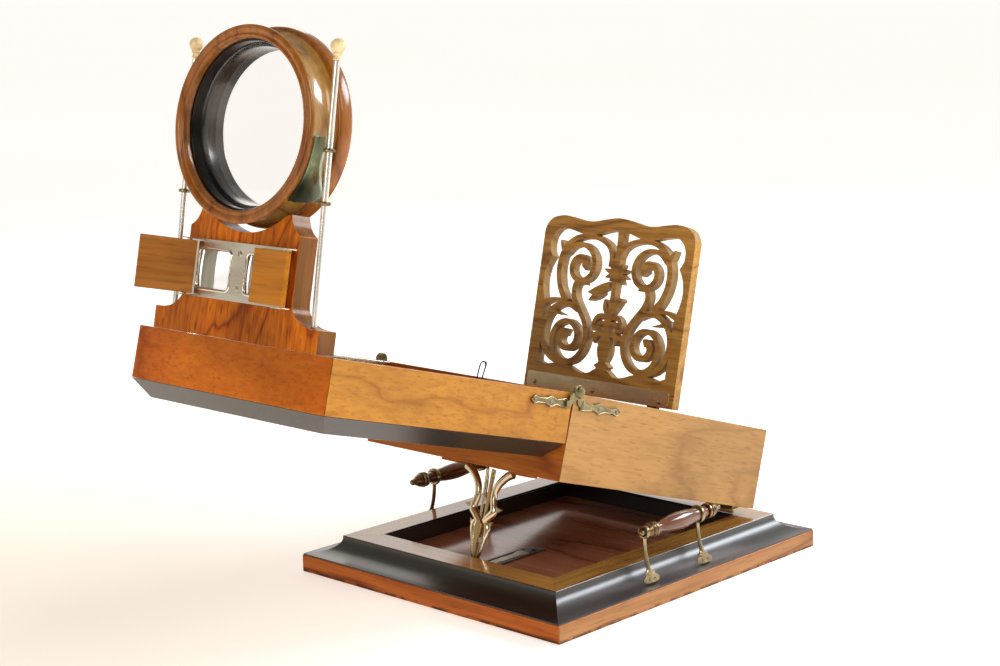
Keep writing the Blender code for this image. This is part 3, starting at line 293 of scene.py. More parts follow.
def metal(name, bright, dull, rough=0.25, tarnish=0.5, seed=0.0, patina=None, brush="X", pits=0.25,
          ripple=0.1, shadow=None):
    """Old plated or cast metal: tarnish clouds, fine brushing and pits, and if asked patina, as
    (colour, amount), and painted shade round a point, as (point, (near, far))."""
    mat, shader = principled(name)
    where = grain_vector(place_vector(), brush, seed, (0.53, 0.31, 0.77))
    cloud = noise(drawn(where, 0.35), 60.0)
    fine = noise(drawn(where, 0.03), 700.0, 1.0)
    speck = span(noise(where, 420.0, 2.0, 0.6), 0.66, 0.78)
    colour = mix(span(cloud, 0.3, 0.72, 0.0, tarnish), bright, dull)
    colour = mix(times(speck, pits), colour, darker(dull, 0.35))
    colour = mix(wear_mask(where, 0.7, 160.0), colour, darker(bright, 1.15))
    gloss = span(cloud, 0.3, 0.7, rough - 0.04, rough + 0.08)
    gloss = calc("ADD", gloss, span(fine, 0.3, 0.7, -0.02, 0.04))
    metallic = 1.0
    if patina:
        green, amount = patina
        crust = span(noise(where, CRUST_SIZE, 6.0, 0.7), 0.5 - 0.25 * amount, 0.68 - 0.2 * amount)
        crust = times(crust, amount)
        colour = mix(crust, colour, green)
        gloss = calc("ADD", gloss, times(crust, 0.3), True)
        metallic = calc("SUBTRACT", 1.0, times(crust, 0.7))
    # Painted shade: the colour darkens towards a point, where the ring's waist shades the bracket's lower
    # part.
    if shadow:
        point, reach = shadow
        folded = vec("ABSOLUTE", place_vector(), (0, 0, 0))
        gap = vec("DISTANCE", folded, point, "Value")
        colour = mix(span(gap, *reach, 0.85, 0.0), colour, darker(dull, 0.12))
    relief = calc("SUBTRACT", times(fine, 0.3), speck)
    feed(shader, {"Metallic": metallic, "Base Color": colour, "Roughness": gloss,
                  "Normal": bump(relief, ripple, 0.00012)})
    return mat


def glass(name, tint):
    mat, shader = principled(name)
    smear = noise(place_vector(), 45.0, 5.0, 0.7)
    feed(shader, {"Base Color": (*tint, 1), "Transmission Weight": 1.0, "IOR": 1.5,
                  "Roughness": span(smear, 0.45, 0.8, 0.0, 0.05)})
    return mat


def bone(name):
    mat, shader = principled(name)
    where = place_vector()
    cloud = noise(stretch(where, (1, 1, 0.3)), 260.0, 4.0, 0.6)
    line = span(noise(stretch(where, (1, 1, 0.08)), 900.0), 0.6, 0.72)
    colour = ramp(cloud, [(0.25, (0.62, 0.4, 0.16)), (0.55, (0.86, 0.68, 0.36)), (0.8, (0.93, 0.82, 0.56))])
    feed(shader, {"Base Color": mix(times(line, 0.5), colour, (0.3, 0.16, 0.06)),
                  "Subsurface Weight": 0.25, "Subsurface Radius": (0.004, 0.002, 0.001),
                  "Roughness": 0.35, "Coat Weight": 0.3, "Normal": bump(cloud, 0.15, 0.0002)})
    return mat


# ---- palette
HONEY = ((0.29, 0.088, 0.007), (0.53, 0.212, 0.018), (0.62, 0.275, 0.032))
MUTED = ((0.26, 0.112, 0.03), (0.46, 0.23, 0.062), (0.535, 0.285, 0.084))
ORANGE = ((0.28, 0.044, 0.002), (0.52, 0.116, 0.004), (0.62, 0.168, 0.008))
SHADED = ((0.205, 0.04, 0.006), (0.45, 0.122, 0.014), (0.54, 0.17, 0.023))
RED = ((0.165, 0.026, 0.001), (0.5, 0.108, 0.002), (0.6, 0.165, 0.005))
BROWN = ((0.07, 0.028, 0.01), (0.23, 0.105, 0.036), (0.33, 0.17, 0.065))
TURNED = ((0.135, 0.036, 0.005), (0.29, 0.09, 0.011), (0.38, 0.134, 0.02))
OLIVE = ((0.19, 0.085, 0.016), (0.42, 0.205, 0.042), (0.52, 0.285, 0.07))
DEEP = ((0.21, 0.062, 0.03), (0.44, 0.152, 0.08), (0.54, 0.21, 0.115))
GOLD = ((0.19, 0.074, 0.015), (0.48, 0.22, 0.044), (0.6, 0.3, 0.07))
FRET = ((0.215, 0.088, 0.012), (0.51, 0.238, 0.041), (0.625, 0.325, 0.07))
CUT = ((0.24, 0.122, 0.032), (0.385, 0.222, 0.073), (0.46, 0.284, 0.104))

SIDE_WOOD = wood("walnut_side_lens", *HONEY, "Y", 1.3, rings=7.0, slope=0.25, tilt=0.28, figure=0.55,
                 stains=0.25, spec=0.25, coat=0.15)
BOX_WOOD = wood("walnut_side_box", *MUTED, "Y", 5.3, cells=7, rings=6.0, slope=0.25, figure=0.42,
                stains=0.28, fibre=0.25, blotch=0.1, tilt=0.12, spec=0.25, coat=0.15)
FRONT_WOOD = wood("walnut_front", *ORANGE, "X", 2.2, cells=10, rings=3.4, slope=0.3, tilt=0.35, figure=0.7,
                  blotch=0.2, spec=0.15, coat=0.05)
BOX_FRONT_WOOD = wood("walnut_box_front", *SHADED, "X", 6.4, slope=0.3, spec=0.2, coat=0.1)
BOARD_WOOD = wood("walnut_board", *RED, "Z", 3.7, cells=18, rings=5.5, slope=0.22, fibre=0.45, pores=0.5,
                  blotch=0.25, coat=0.05, rough=0.34, tilt=-0.12, spec=0.12)
BOARD_EDGE = wood("walnut_board_edge", (0.11, 0.036, 0.008), (0.235, 0.085, 0.02), (0.3, 0.125, 0.036),
                  "Z", 4.7, cells=16, rings=4.0, slope=0.1, coat=0.15, rough=0.26, spec=0.1)
LINING = wood("window_lining", (0.2, 0.17, 0.11), (0.42, 0.4, 0.31), (0.5, 0.48, 0.4), "Z", 2.7,
              rough=0.5, coat=0.0)
PANEL_WOOD = wood("walnut_fretwork", *FRET, "X", 5.2, cells=16, rings=4.5, slope=0.14, fibre=0.4, pores=0.5,
                  rough=0.36, coat=0.15)
CUT_WOOD = wood("walnut_sawn_edge", *CUT, "X", 5.2, cells=16, rings=4.5, fibre=0.35, rough=0.5, coat=0.0)
PLATE_X_WOOD = wood("walnut_plate_front", (0.15, 0.034, 0.006), (0.42, 0.098, 0.015), (0.52, 0.145, 0.025),
                    "X", 7.7, cells=20, slope=0.08, rough=0.46, coat=0.0, spec=0.15, scuff=(0.001, 0.0052))
PLATE_Y_WOOD = wood("walnut_plate_side", (0.2, 0.07, 0.02), (0.45, 0.19, 0.06), (0.54, 0.26, 0.09), "Y",
                    8.3, cells=20, slope=0.08, rough=0.42, coat=0.1, scuff=(0.001, 0.0046))
RIM_X_WOOD = wood("walnut_rim_front", *GOLD, "X", 9.1, cells=16, slope=0.1, rough=0.13, coat=1.0, spec=0.6)
RIM_Y_WOOD = wood("walnut_rim_side", *GOLD, "Y", 9.9, cells=16, slope=0.1, rough=0.13, coat=1.0, spec=0.6)
RING_WOOD = wood("walnut_ring", *TURNED, "Z", 2.9, cells=16, rings=4.0, slope=0.3, fibre=0.35, rough=0.22,
                 coat=0.4, spec=0.2)
WAIST_WOOD = wood("walnut_ring_waist", *OLIVE, "Z", 2.9, cells=16, rings=4.0, slope=0.3, fibre=0.35,
                  rough=0.2, coat=0.7)
FLAP_LEFT_WOOD = wood("walnut_flap_left", (0.14, 0.038, 0.008), (0.41, 0.146, 0.026), (0.5, 0.21, 0.046),
                      "X", 3.1, cells=18, rings=2.5, rough=0.33, figure=0.5, stains=0.4, coat=0.1, spec=0.25)
FLAP_RIGHT_WOOD = wood("walnut_flap_right", (0.26, 0.085, 0.005), (0.51, 0.172, 0.008), (0.61, 0.23, 0.018),
                       "X", 6.9, cells=18, rings=2.5, rough=0.36, figure=0.5, coat=0.0, spec=0.15)
FLOOR_WOOD = wood("mahogany_floor", *DEEP, "X", 4.4, cells=12, slope=0.12, rough=0.13, coat=0.8, pores=0.2)
INNER_WOOD = wood("walnut_inside", *BROWN, "Y", 5.8, cells=16, rings=4.0, rough=0.42, coat=0.1)
GRIP_WOOD = wood("grip_wood", (0.055, 0.014, 0.006), (0.17, 0.052, 0.022), (0.23, 0.08, 0.034), "Y", 1.9,
                 cells=40, rough=0.14, coat=0.9)
EBONY_X = ebony("ebonised_front", 1.0, rough=0.3)
EBONY_Y = ebony("ebonised_side", 2.0, "Y", rough=0.36, shine=1.0, haze=0.34)
BEVEL_BLACK = ebony("ebonised_bevel", 1.5, rough=0.24, shine=1.0)
CELL_BLACK = ebony("black_cell", 3.0, rough=0.18, brown=(0.03, 0.028, 0.02), shine=0.35)
NICKEL = metal("nickel", (0.78, 0.71, 0.57), (0.52, 0.45, 0.32), 0.2, 0.5, 1.0)
BRIGHT = metal("bright_nickel", (0.86, 0.79, 0.68), (0.6, 0.5, 0.37), 0.16, 0.3, 1.5)
NICKEL_ROD = metal("nickel_rod", (0.9, 0.86, 0.78), (0.72, 0.66, 0.56), 0.28, 0.4, 2.0, brush="Z",
                   pits=0.04, ripple=0.0)
TRACK_DARK = metal("dark_nickel", (0.16, 0.13, 0.11), (0.07, 0.055, 0.045), 0.22, 0.7, 2.5, brush="Y")
STRUT_BRASS = metal("strut_brass", (0.86, 0.69, 0.45), (0.46, 0.33, 0.18), 0.18, 0.7, 3.0, brush="Z",
                    pits=0.1)
STRING_BRASS = metal("string_brass", (0.66, 0.46, 0.22), (0.4, 0.25, 0.11), 0.22, 0.6, 3.4, brush="Z",
                     pits=0.1)
BRASS = metal("brass", (0.36, 0.25, 0.13), (0.15, 0.09, 0.045), 0.24, 0.8, 4.0)
POST_BRASS = metal("post_brass", (0.46, 0.36, 0.2), (0.18, 0.12, 0.06), 0.26, 0.75, 4.6)
STRAP_BRASS = metal("aged_brass", (0.31, 0.255, 0.13), (0.15, 0.12, 0.055), 0.3, 0.8, 5.0)
RIM_BRASS = metal("rubbed_brass", (0.44, 0.37, 0.21), (0.27, 0.21, 0.11), 0.26, 0.5, 6.0)
LEDGE_BRASS = metal("bronzed_brass", (0.78, 0.62, 0.38), (0.52, 0.4, 0.23), 0.26, 0.8, 7.0, pits=0.1)
# Real verdigris patina, plus painted shade on the bracket's lower part below the ring's waist.
GREEN_BRASS = metal("verdigris_brass", (0.58, 0.62, 0.46), (0.28, 0.32, 0.22), 0.26, 0.8, 8.0,
                    patina=((0.24, 0.31, 0.23), 0.45), shadow=((0.06, 0.0, 0.062), (0.012, 0.034)))
SCREW = metal("screw_steel", (0.3, 0.27, 0.22), (0.12, 0.1, 0.07), 0.3, 0.7, 9.0)
DARK = metal("slot_dark", (0.06, 0.05, 0.04), (0.02, 0.018, 0.015), 0.4, 0.8, 10.0)
LENS_GLASS = glass("lens_glass", (1.0, 0.995, 0.985))
EYE_GLASS = glass("eye_glass", (0.98, 0.99, 0.98))
BONE = bone("bone")


# ---- mesh helpers
def show(name, data):
    """A new object in the scene."""
    obj = bpy.data.objects.new(name, data)
    bpy.context.scene.collection.objects.link(obj)
    return obj


def as_object(name, bm):
    mesh = bpy.data.meshes.new(name)
    bm.to_mesh(mesh)
    bm.free()
    return show(name, mesh)


def put(name, bm, place, body, mats, replaces=(), smooth=40, bevel=None, segments=2, flat=False):
    """Turns a bmesh into a piece that rides on a body. A bevel marks its faces as worn, and flat
    bakes the place into the mesh."""
    bmesh.ops.recalc_face_normals(bm, faces=bm.faces)
    wear = bm.loops.layers.float_color.new("wear")
    worn = []
    if bevel:
        bmesh.ops.dissolve_limit(bm, angle_limit=math.radians(0.5), verts=bm.verts, edges=bm.edges)
        sharp = [e for e in bm.edges if len(e.link_faces) == 2 and e.calc_face_angle(0) > BEVEL_FROM]
        worn = bmesh.ops.bevel(bm, geom=sharp, offset=bevel, segments=segments, profile=0.5,
                               affect="EDGES", clamp_overlap=True)["faces"]
    for faces, shade in ((bm.faces, (0, 0, 0, 1)), (worn, (1, 1, 1, 1))):
        for face in faces:
            for loop in face.loops:
                loop[wear] = shade
    if flat:
        bmesh.ops.transform(bm, matrix=place, verts=bm.verts)
        place = Matrix.Identity(4)
    obj = as_object(name, bm)
    for mat in mats:
        obj.data.materials.append(mat)
    obj.matrix_world = place
    obj.data.shade_smooth()
    obj.data.set_sharp_from_angle(angle=math.radians(smooth))
    if bevel:
        obj.modifiers.new("even shading", "WEIGHTED_NORMAL").keep_sharp = True
    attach(obj, body)
    if replaces:
        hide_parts(*replaces)
    return obj


def copy_node(node, place):
    """A node's shape in its own local frame, with its doubled points joined."""
    bm = bmesh.new()
    bm.from_mesh(NODES[node].data)
    bmesh.ops.transform(bm, matrix=place.inverted(), verts=bm.verts)
    bmesh.ops.remove_doubles(bm, verts=bm.verts, dist=2e-6)
    for face in bm.faces:
        face.material_index = 0
    return bm


def soften(node, place, body, mats, width, pick=None, segments=2, shrink=1.0):
    """The node's shape with rounded edges, standing for the node."""
    bm = copy_node(node, place)
    bmesh.ops.scale(bm, vec=(shrink, shrink, 1.0), verts=bm.verts)
    if pick:
        for face in bm.faces:
            face.material_index = pick(face)
    return put(node + "_soft", bm, place, body, mats, (node,), 40, width, segments)


def mm(rows):
    """Rows of millimetres, in metres."""
    return [tuple(value / 1000 for value in row) for row in rows]


def mirrored(points):
    """The same outline on the other side of the middle, in reverse order."""
    return [(-x, z) for x, z in reversed(points)]


def skin(bm, rows, closed=False):
    """Joins rows of points by four-sided faces, with an end face at each end unless closed."""
    pairs = list(zip(rows, rows[1:]))
    if closed:
        pairs.append((rows[-1], rows[0]))
    else:
        bm.faces.new(rows[0])
        bm.faces.new(rows[-1])
    count = len(rows[0])
    return [bm.faces.new((low[i], low[(i + 1) % count], high[(i + 1) % count], high[i]))
            for low, high in pairs for i in range(count)]


def point_in(plane, a, b, c):
    return Vector((a, c, b) if plane == "XZ" else (a, b, c))


def prism(outline, depth, plane="XZ", bm=None):
    """An outline in the XZ or XY plane, drawn out between two depths."""
    bm = bm or bmesh.new()
    skin(bm, [[bm.verts.new(point_in(plane, a, b, c)) for a, b in outline] for c in depth])
    return bm


def circle(sides):
    return [2 * math.pi * k / sides for k in range(sides)]


def lathe(profile, sides, axis="Z", at=(0, 0, 0), bm=None):
    """A turned solid from (radius, height) points; a loop without axis points makes a ring."""
    bm = bm or bmesh.new()
    place = {"X": Matrix.Rotation(math.radians(90), 3, "Y"), "Y": Matrix.Rotation(math.radians(-90), 3, "X"),
             "Z": Matrix.Identity(3)}[axis]
    rows = []
    for radius, height in profile:
        angles = circle(sides)[:1] if radius < ON_AXIS else circle(sides)
        spots = [Vector((radius * math.cos(a), radius * math.sin(a), height)) for a in angles]
        rows.append([bm.verts.new(place @ spot + Vector(at)) for spot in spots])
    pairs = list(zip(rows, rows[1:]))
    if len(rows[0]) > 1 and len(rows[-1]) > 1:
        pairs.append((rows[-1], rows[0]))
    for low, high in pairs:
        for k in range(sides):
            n = (k + 1) % sides
            if len(low) == 1:
                bm.faces.new((low[0], high[n], high[k]))
            elif len(high) == 1:
                bm.faces.new((low[k], low[n], high[0]))
            else:
                bm.faces.new((low[k], low[n], high[n], high[k]))
    return bm


def arc(cx, cz, rx, rz, start, end, steps):
    angles = [math.radians(start + (end - start) * k / steps) for k in range(steps + 1)]
    return [(cx + rx * math.cos(a), cz + rz * math.sin(a)) for a in angles]


def rounded(x0, z0, x1, z1, radius, steps=6):
    """A rectangle with round corners."""
    left, right, low, high = x0 + radius, x1 - radius, z0 + radius, z1 - radius
    centres = ((right, high), (left, high), (left, low), (right, low))
    return [spot for k, (x, z) in enumerate(centres)
            for spot in arc(x, z, radius, radius, 90 * k, 90 * k + 90, steps)]


def curve_line(points, steps):
    """A smooth line through points of any length."""
    line = []
    for i in range(len(points) - 1):
        p0, p1, p2, p3 = (points[min(max(i + k, 0), len(points) - 1)] for k in (-1, 0, 1, 2))
        for k in range(steps):
            t = k / steps
            line.append(tuple(0.5 * (2 * b + (c - a) * t + (2 * a - 5 * b + 4 * c - d) * t * t
                                     + (3 * b - a - 3 * c + d) * t * t * t)
                              for a, b, c, d in zip(p0, p1, p2, p3)))
    return line + [tuple(points[-1])]


def strip(points, depth, steps=6):
    """A flat band in the XZ plane along a smooth line of (x, z, half width)."""
    bm = bmesh.new()
    line = curve_line(points, steps)
    rows = []
    for i, (a, b, half) in enumerate(line):
        before = line[max(i - 1, 0)]
        after = line[min(i + 1, len(line) - 1)]
        along = Vector((after[0] - before[0], after[1] - before[1])).normalized()
        side = Vector((-along.y, along.x)) * half
        corners = ((1, depth[0]), (-1, depth[0]), (-1, depth[1]), (1, depth[1]))
        rows.append([bm.verts.new((a + s * side.x, c, b + s * side.y)) for s, c in corners])
    skin(bm, rows)
    return bm


def tube(path, radius, sides, closed=False):
    """A round tube along 3D points; radius may be a list."""
    bm = bmesh.new()
    rows = []
    count = len(path)
    last = None
    for i, spot in enumerate(path):
        spot = Vector(spot)
        if closed:
            along = Vector(path[(i + 1) % count]) - Vector(path[i - 1])
        else:
            along = Vector(path[min(i + 1, count - 1)]) - Vector(path[max(i - 1, 0)])
        along.normalize()
        side = last or Vector((0.31, 0.87, 0.41) if abs(along.y) < 0.8 else (1, 0, 0))
        side = (side - along * side.dot(along)).normalized()
        last = side
        other = along.cross(side)
        size = radius[i] if isinstance(radius, list) else radius
        rows.append([bm.verts.new(spot + size * (side * math.cos(a) + other * math.sin(a)))
                     for a in circle(sides)])
    skin(bm, rows, closed)
    return bm


def cuboid(low, high, bm=None):
    outline = [(low[0], low[1]), (high[0], low[1]), (high[0], high[1]), (low[0], high[1])]
    return prism(outline, (low[2], high[2]), "XY", bm)


def carve(bm, tools, operation):
    """The bmesh after boolean steps with the tool bmeshes."""
    bmesh.ops.recalc_face_normals(bm, faces=bm.faces)
    work = as_object("work", bm)
    made = []
    for tool in tools:
        bmesh.ops.recalc_face_normals(tool, faces=tool.faces)
        made.append(as_object("tool", tool))
        mod = work.modifiers.new("step", "BOOLEAN")
        mod.operation = operation
        mod.solver = "EXACT"
        mod.object = made[-1]
    result = bmesh.new()
    result.from_object(work, bpy.context.evaluated_depsgraph_get())
    for old in made + [work]:
        bpy.data.objects.remove(old)
    bmesh.ops.remove_doubles(result, verts=result.verts, dist=1e-6)
    return result


def screw(name, place, body, radius, mat, spin):
    """A slotted screw head that stands on the local XY plane, facing +Z."""
    slot = radius * 0.16
    bm = lathe([(0, 0.0), (radius * 1.12, 0.0), (radius * 1.12, radius * 0.1), (0, radius * 0.1)], 24)
    start = math.degrees(math.asin(slot / radius))
    outline = arc(0, 0, radius, radius, start, 180 - start, 12)
    for sign in (1, -1):
        prism([(sign * a, sign * b) for a, b in outline], (radius * 0.05, radius * 0.42), "XY", bm)
    put(name, bm, place @ turn(spin, "Z"), body, [mat], smooth=30, bevel=radius * 0.12, segments=1)


# ---- base
def cove_height(inward):
    """Height of the black cove, this far in from the plate's edge."""
    t = (inward - COVE_OUT) / (COVE_IN - COVE_OUT)
    return COVE_FOOT + (COVE_LIP - COVE_FOOT) * (1 - math.sqrt(max(0.0, 1 - t * t)))


def build_base():
    def side_of(face):
        return 1 if abs(face.normal.x) > 0.7 else 0

    soften("base_plate", BASE, "base", [PLATE_X_WOOD, PLATE_Y_WOOD], 0.0007, side_of, 2)
    soften("recess_floor", BASE, "base", [FLOOR_WOOD], 0.0002)
    low = PLATE_T + GAP
    profile = [(COVE_OUT, low), (COVE_OUT, COVE_FOOT)]
    for k in range(1, 22):
        inward = COVE_OUT + (COVE_IN - COVE_OUT) * math.sin(math.radians(90 * k / 21))
        profile.append((inward, cove_height(inward)))
    profile.append((COVE_IN, RIM_TOP - 0.0005))
    rim = len(profile)
    profile += [(COVE_IN + 0.0005, RIM_TOP), (RIM_IN - 0.0025, RIM_TOP), (RIM_IN - 0.002, RIM_TOP - 0.0004),
                (RIM_IN - 0.002, RIM_TOP - 0.0016), (RIM_IN - 0.0003, RIM_TOP - 0.0016),
                (RIM_IN, RIM_TOP - 0.002), (RIM_IN, low)]
    mitre = GAP * 0.4
    for side, sign in (("front", -1), ("rear", 1), ("left", -1), ("right", 1)):
        along = side in ("front", "rear")
        bm = bmesh.new()
        rows = []
        for end in (-1, 1):
            if along:
                spots = [(end * (BASE_X - d - mitre), sign * (BASE_Y - d), z) for d, z in profile]
            else:
                spots = [(sign * (BASE_X - d), end * (BASE_Y - d - mitre), z) for d, z in profile]
            rows.append([bm.verts.new(spot) for spot in spots])
        skin(bm, rows)[rim].material_index = 1
        mats = [EBONY_X, RIM_X_WOOD] if along else [EBONY_Y, RIM_Y_WOOD]
        put("moulding_" + side, bm, BASE, "base", mats, ("base_moulding_" + side,), 25)


def build_track():
    low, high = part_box("track_plate")
    mid = (low.z + high.z) / 2
    bm = prism(rounded(low.x, low.y, high.x, high.y, 0.002), (low.z, mid), "XY")
    for x in (low.x + 0.0006, high.x - 0.0034):
        cuboid((x, low.y + 0.001, low.z + 0.0001), (x + 0.0028, high.y - 0.012, high.z), bm)
    put("track_guides", bm, BASE, "base", [TRACK_DARK], ("track_plate",), 30, 0.0002, 1)
    edge = [(0.005, low.y + 0.012), (0.005, -0.07), (0.0072, -0.064), (0.0072, -0.056)]
    slide = prism(edge + mirrored(edge), (mid - 0.0001, high.z - 0.0001), "XY")
    put("track_slide", slide, BASE, "base", [NICKEL], (), 30, 0.0002, 1)
    for k, y in enumerate((low.y + 0.004, high.y - 0.008)):
        screw("track_screw_%d" % k, shift(0, y, high.z - 0.0004), "base", 0.0022, SCREW, 30 + 50 * k)
    soften("strut_bracket", BASE, "base", [STRUT_BRASS], 0.0003)


def build_box_hinges():
    for side, sign in SIDES:
        _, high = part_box("box_hinge_" + side)
        soften("box_hinge_" + side, BASE, "base", [STRAP_BRASS], 0.0003)
        for k, x in enumerate((-0.0095, 0.0, 0.0095)):
            spot = shift(sign * 0.09 + x, high.y - 0.0038, RIM_TOP + GAP + 0.0012)
            screw("box_hinge_screw_%s_%d" % (side, k), spot, "base", 0.0014, SCREW, 40 * k + 15)


# ---- handles
def build_handle(side):
    place = HANDLE[side]
    grip = mm([(5, -40.5), (5.6, -38.5), (5.2, -36), (6, -30), (7.6, -21), (8.8, -9), (9, 0), (8.4, 10),
               (7.2, 20), (6.8, 28.1), (5.8, 34.5), (5.4, 37.5), (5.7, 39), (5, 40.5)])
    line = [(0, -0.041)] + curve_line(grip, 4) + [(0, 0.041)]
    turned = lathe(line, 40, "Y")
    put("grip_" + side, turned, place, "base", [GRIP_WOOD], ("handle_grip_" + side,), 50)
    cap = mm([(0, 41.3), (7.4, 41.3), (8, 42), (8, 43.4), (7.2, 44), (5.8, 44.4), (6, 45), (7.8, 45.4),
              (8.3, 46.2), (8.3, 47.4), (7.6, 48.1), (6, 48.5), (6.2, 49.2), (7, 50), (7, 51.2),
              (6.4, 52.8), (5.4, 54.6), (4.3, 56.6), (3.4, 58.8), (2.9, 60), (3.3, 60.8), (3.2, 61.8),
              (2.4, 63), (1.2, 64.1), (0, 64.5)])
    for end, sign in (("rear_", 1), ("front_", -1)):
        turned = lathe([(r, sign * h) for r, h in cap], 36, "Y")
        put("cap_" + end + side, turned, place, "base", [BRASS], ("handle_cap_" + end + side,))
    build_post("front_" + side, place, -0.057, 0.0045)
    build_post("rear_" + side, place, 0.0281, 0.0071)


def build_post(name, place, y, inner):
    """A ring round the bar, a thin stem that leans out, and a shield-shaped foot."""
    profile = [(inner, -0.0022)] + arc(inner + 0.0011, 0, 0.0012, 0.0024, -80, 80, 6) + [(inner, 0.0022)]
    bm = lathe(profile, 32, "Y", (0, y, 0))
    drop = HANDLE_Z - cove_height(BASE_X - HANDLE_X - 0.01) - 0.0012
    start = inner + 0.001
    rows = [(0.0, 0.0028, 0.0019), (0.1, 0.0024, 0.0017), (0.4, 0.0025, 0.0018), (0.62, 0.0028, 0.0018),
            (0.74, 0.0036, 0.0017), (0.8, 0.0084, 0.0016), (0.84, 0.0074, 0.0015), (0.89, 0.0112, 0.0014),
            (0.93, 0.0128, 0.0014), (0.97, 0.0118, 0.0015), (1.0, 0.0092, 0.0017)]
    loops = []
    for share, half, thick in curve_line(rows, 4):
        x = 0.01 * share ** 2
        z = -start - (drop - start) * share
        loops.append([bm.verts.new((x + thick * math.cos(a), y + half * math.sin(a), z)) for a in circle(10)])
    skin(bm, loops)
    put("post_" + name, bm, place, "base", [POST_BRASS], ("handle_post_" + name,))
    out = place @ shift(0.0093, y, -start - (drop - start) * 0.93) @ turn(72, "Y")
    for k in (-1, 1):
        spot = out @ shift(0.0004, k * 0.004, 0.0006)
        screw("post_screw_%s_%d" % (name, k), spot, "base", 0.0011, SCREW, 30 * k)


# ---- boxes
def build_boxes():
    across, along = (BOX_FRONT_WOOD, FRONT_WOOD), (BOX_WOOD, SIDE_WOOD)
    for side, (box, lens) in (("front", across), ("rear", across), ("left", along), ("right", along)):
        soften("rear_box_wall_" + side, BOX, "rear_box", [box], 0.0005)
        soften("lens_half_wall_" + side, LENS, "lens_half", [lens], 0.0005)
    soften("rear_box_bottom", BOX, "rear_box", [INNER_WOOD], 0.0003)
    soften("panel_rail", BOX, "rear_box", [INNER_WOOD], 0.0005)
    soften("strut_rest", BOX, "rear_box", [FRONT_WOOD], 0.0006)
    soften("lens_half_bevel", LENS, "lens_half", [BEVEL_BLACK], 0.0004)
    soften("lens_half_bottom", LENS, "lens_half", [INNER_WOOD], 0.0003)
    for side, _ in SIDES:
        soften("slide_rail_" + side, LENS, "lens_half", [NICKEL], 0.0006)


def strap_edge(end, inset):
    """Upper edge of a strap as (distance, height) from its middle line, moved inwards."""
    line = [(0.0055, 0.005), (0.012, 0.0042), (end * 0.36, 0.0026), (end * 0.5, 0.0056),
            (end * 0.62, 0.0028), (end * 0.82, 0.0026), (end * 0.91, 0.0043), (end * 0.995, 0.0)]
    return [(a, max(0.0, h - inset)) for a, h in line]


def build_strap(half, side, sign, place, body, direction, start, end):
    """The strap itself, a raised rim round its edge, and its screws."""
    face = sign * (BOX_X + GAP + 0.002)
    name = "strap_%s_%s" % (half, side)
    soften("%s_strap_%s" % (half, side), place, body, [STRAP_BRASS], 0.0004)
    top = strap_edge(end, 0.0006)
    ring = top + [(a, -h) for a, h in reversed(top[:-1])]
    path = [(face, start + direction * a, STRAP_LINE + h) for a, h in ring]
    put(name + "_rim", tube(path, 0.00055, 6, True), place, body, [RIM_BRASS], (), 60)
    for k, share in enumerate((0.1, 0.5, 0.91)):
        spot = place @ shift(face, start + direction * end * share, STRAP_LINE) @ turn(90 * sign, "Y")
        screw("%s_screw_%d" % (name, k), spot, body, 0.0017, SCREW, 25 + 60 * k)


def build_straps():
    for side, sign in SIDES:
        build_strap("rear", side, sign, BOX @ shift(0, 0, 0.0007 + BOX_H), "rear_box", 1, *STRAP_REAR)
        build_strap("front", side, sign, LENS @ shift(0, 0, -0.00144), "lens_half", -1, *STRAP_FRONT)
        eye = mm([(0, 0), (6.1, 0), (6.5, 0.4), (6.5, 1.4), (5.8, 2), (4.7, 2.3), (4.5, 2.8), (4.1, 3.8),
                  (3.2, 4.6), (1.8, 5.1), (0, 5.3)])
        place = LENS @ shift(sign * (BOX_X + 2 * GAP + 0.0021), 0, 0) @ turn(90 * sign, "Y")
        put("strap_button_" + side, lathe(eye, 36), place, "lens_half", [STRAP_BRASS], (), 45)


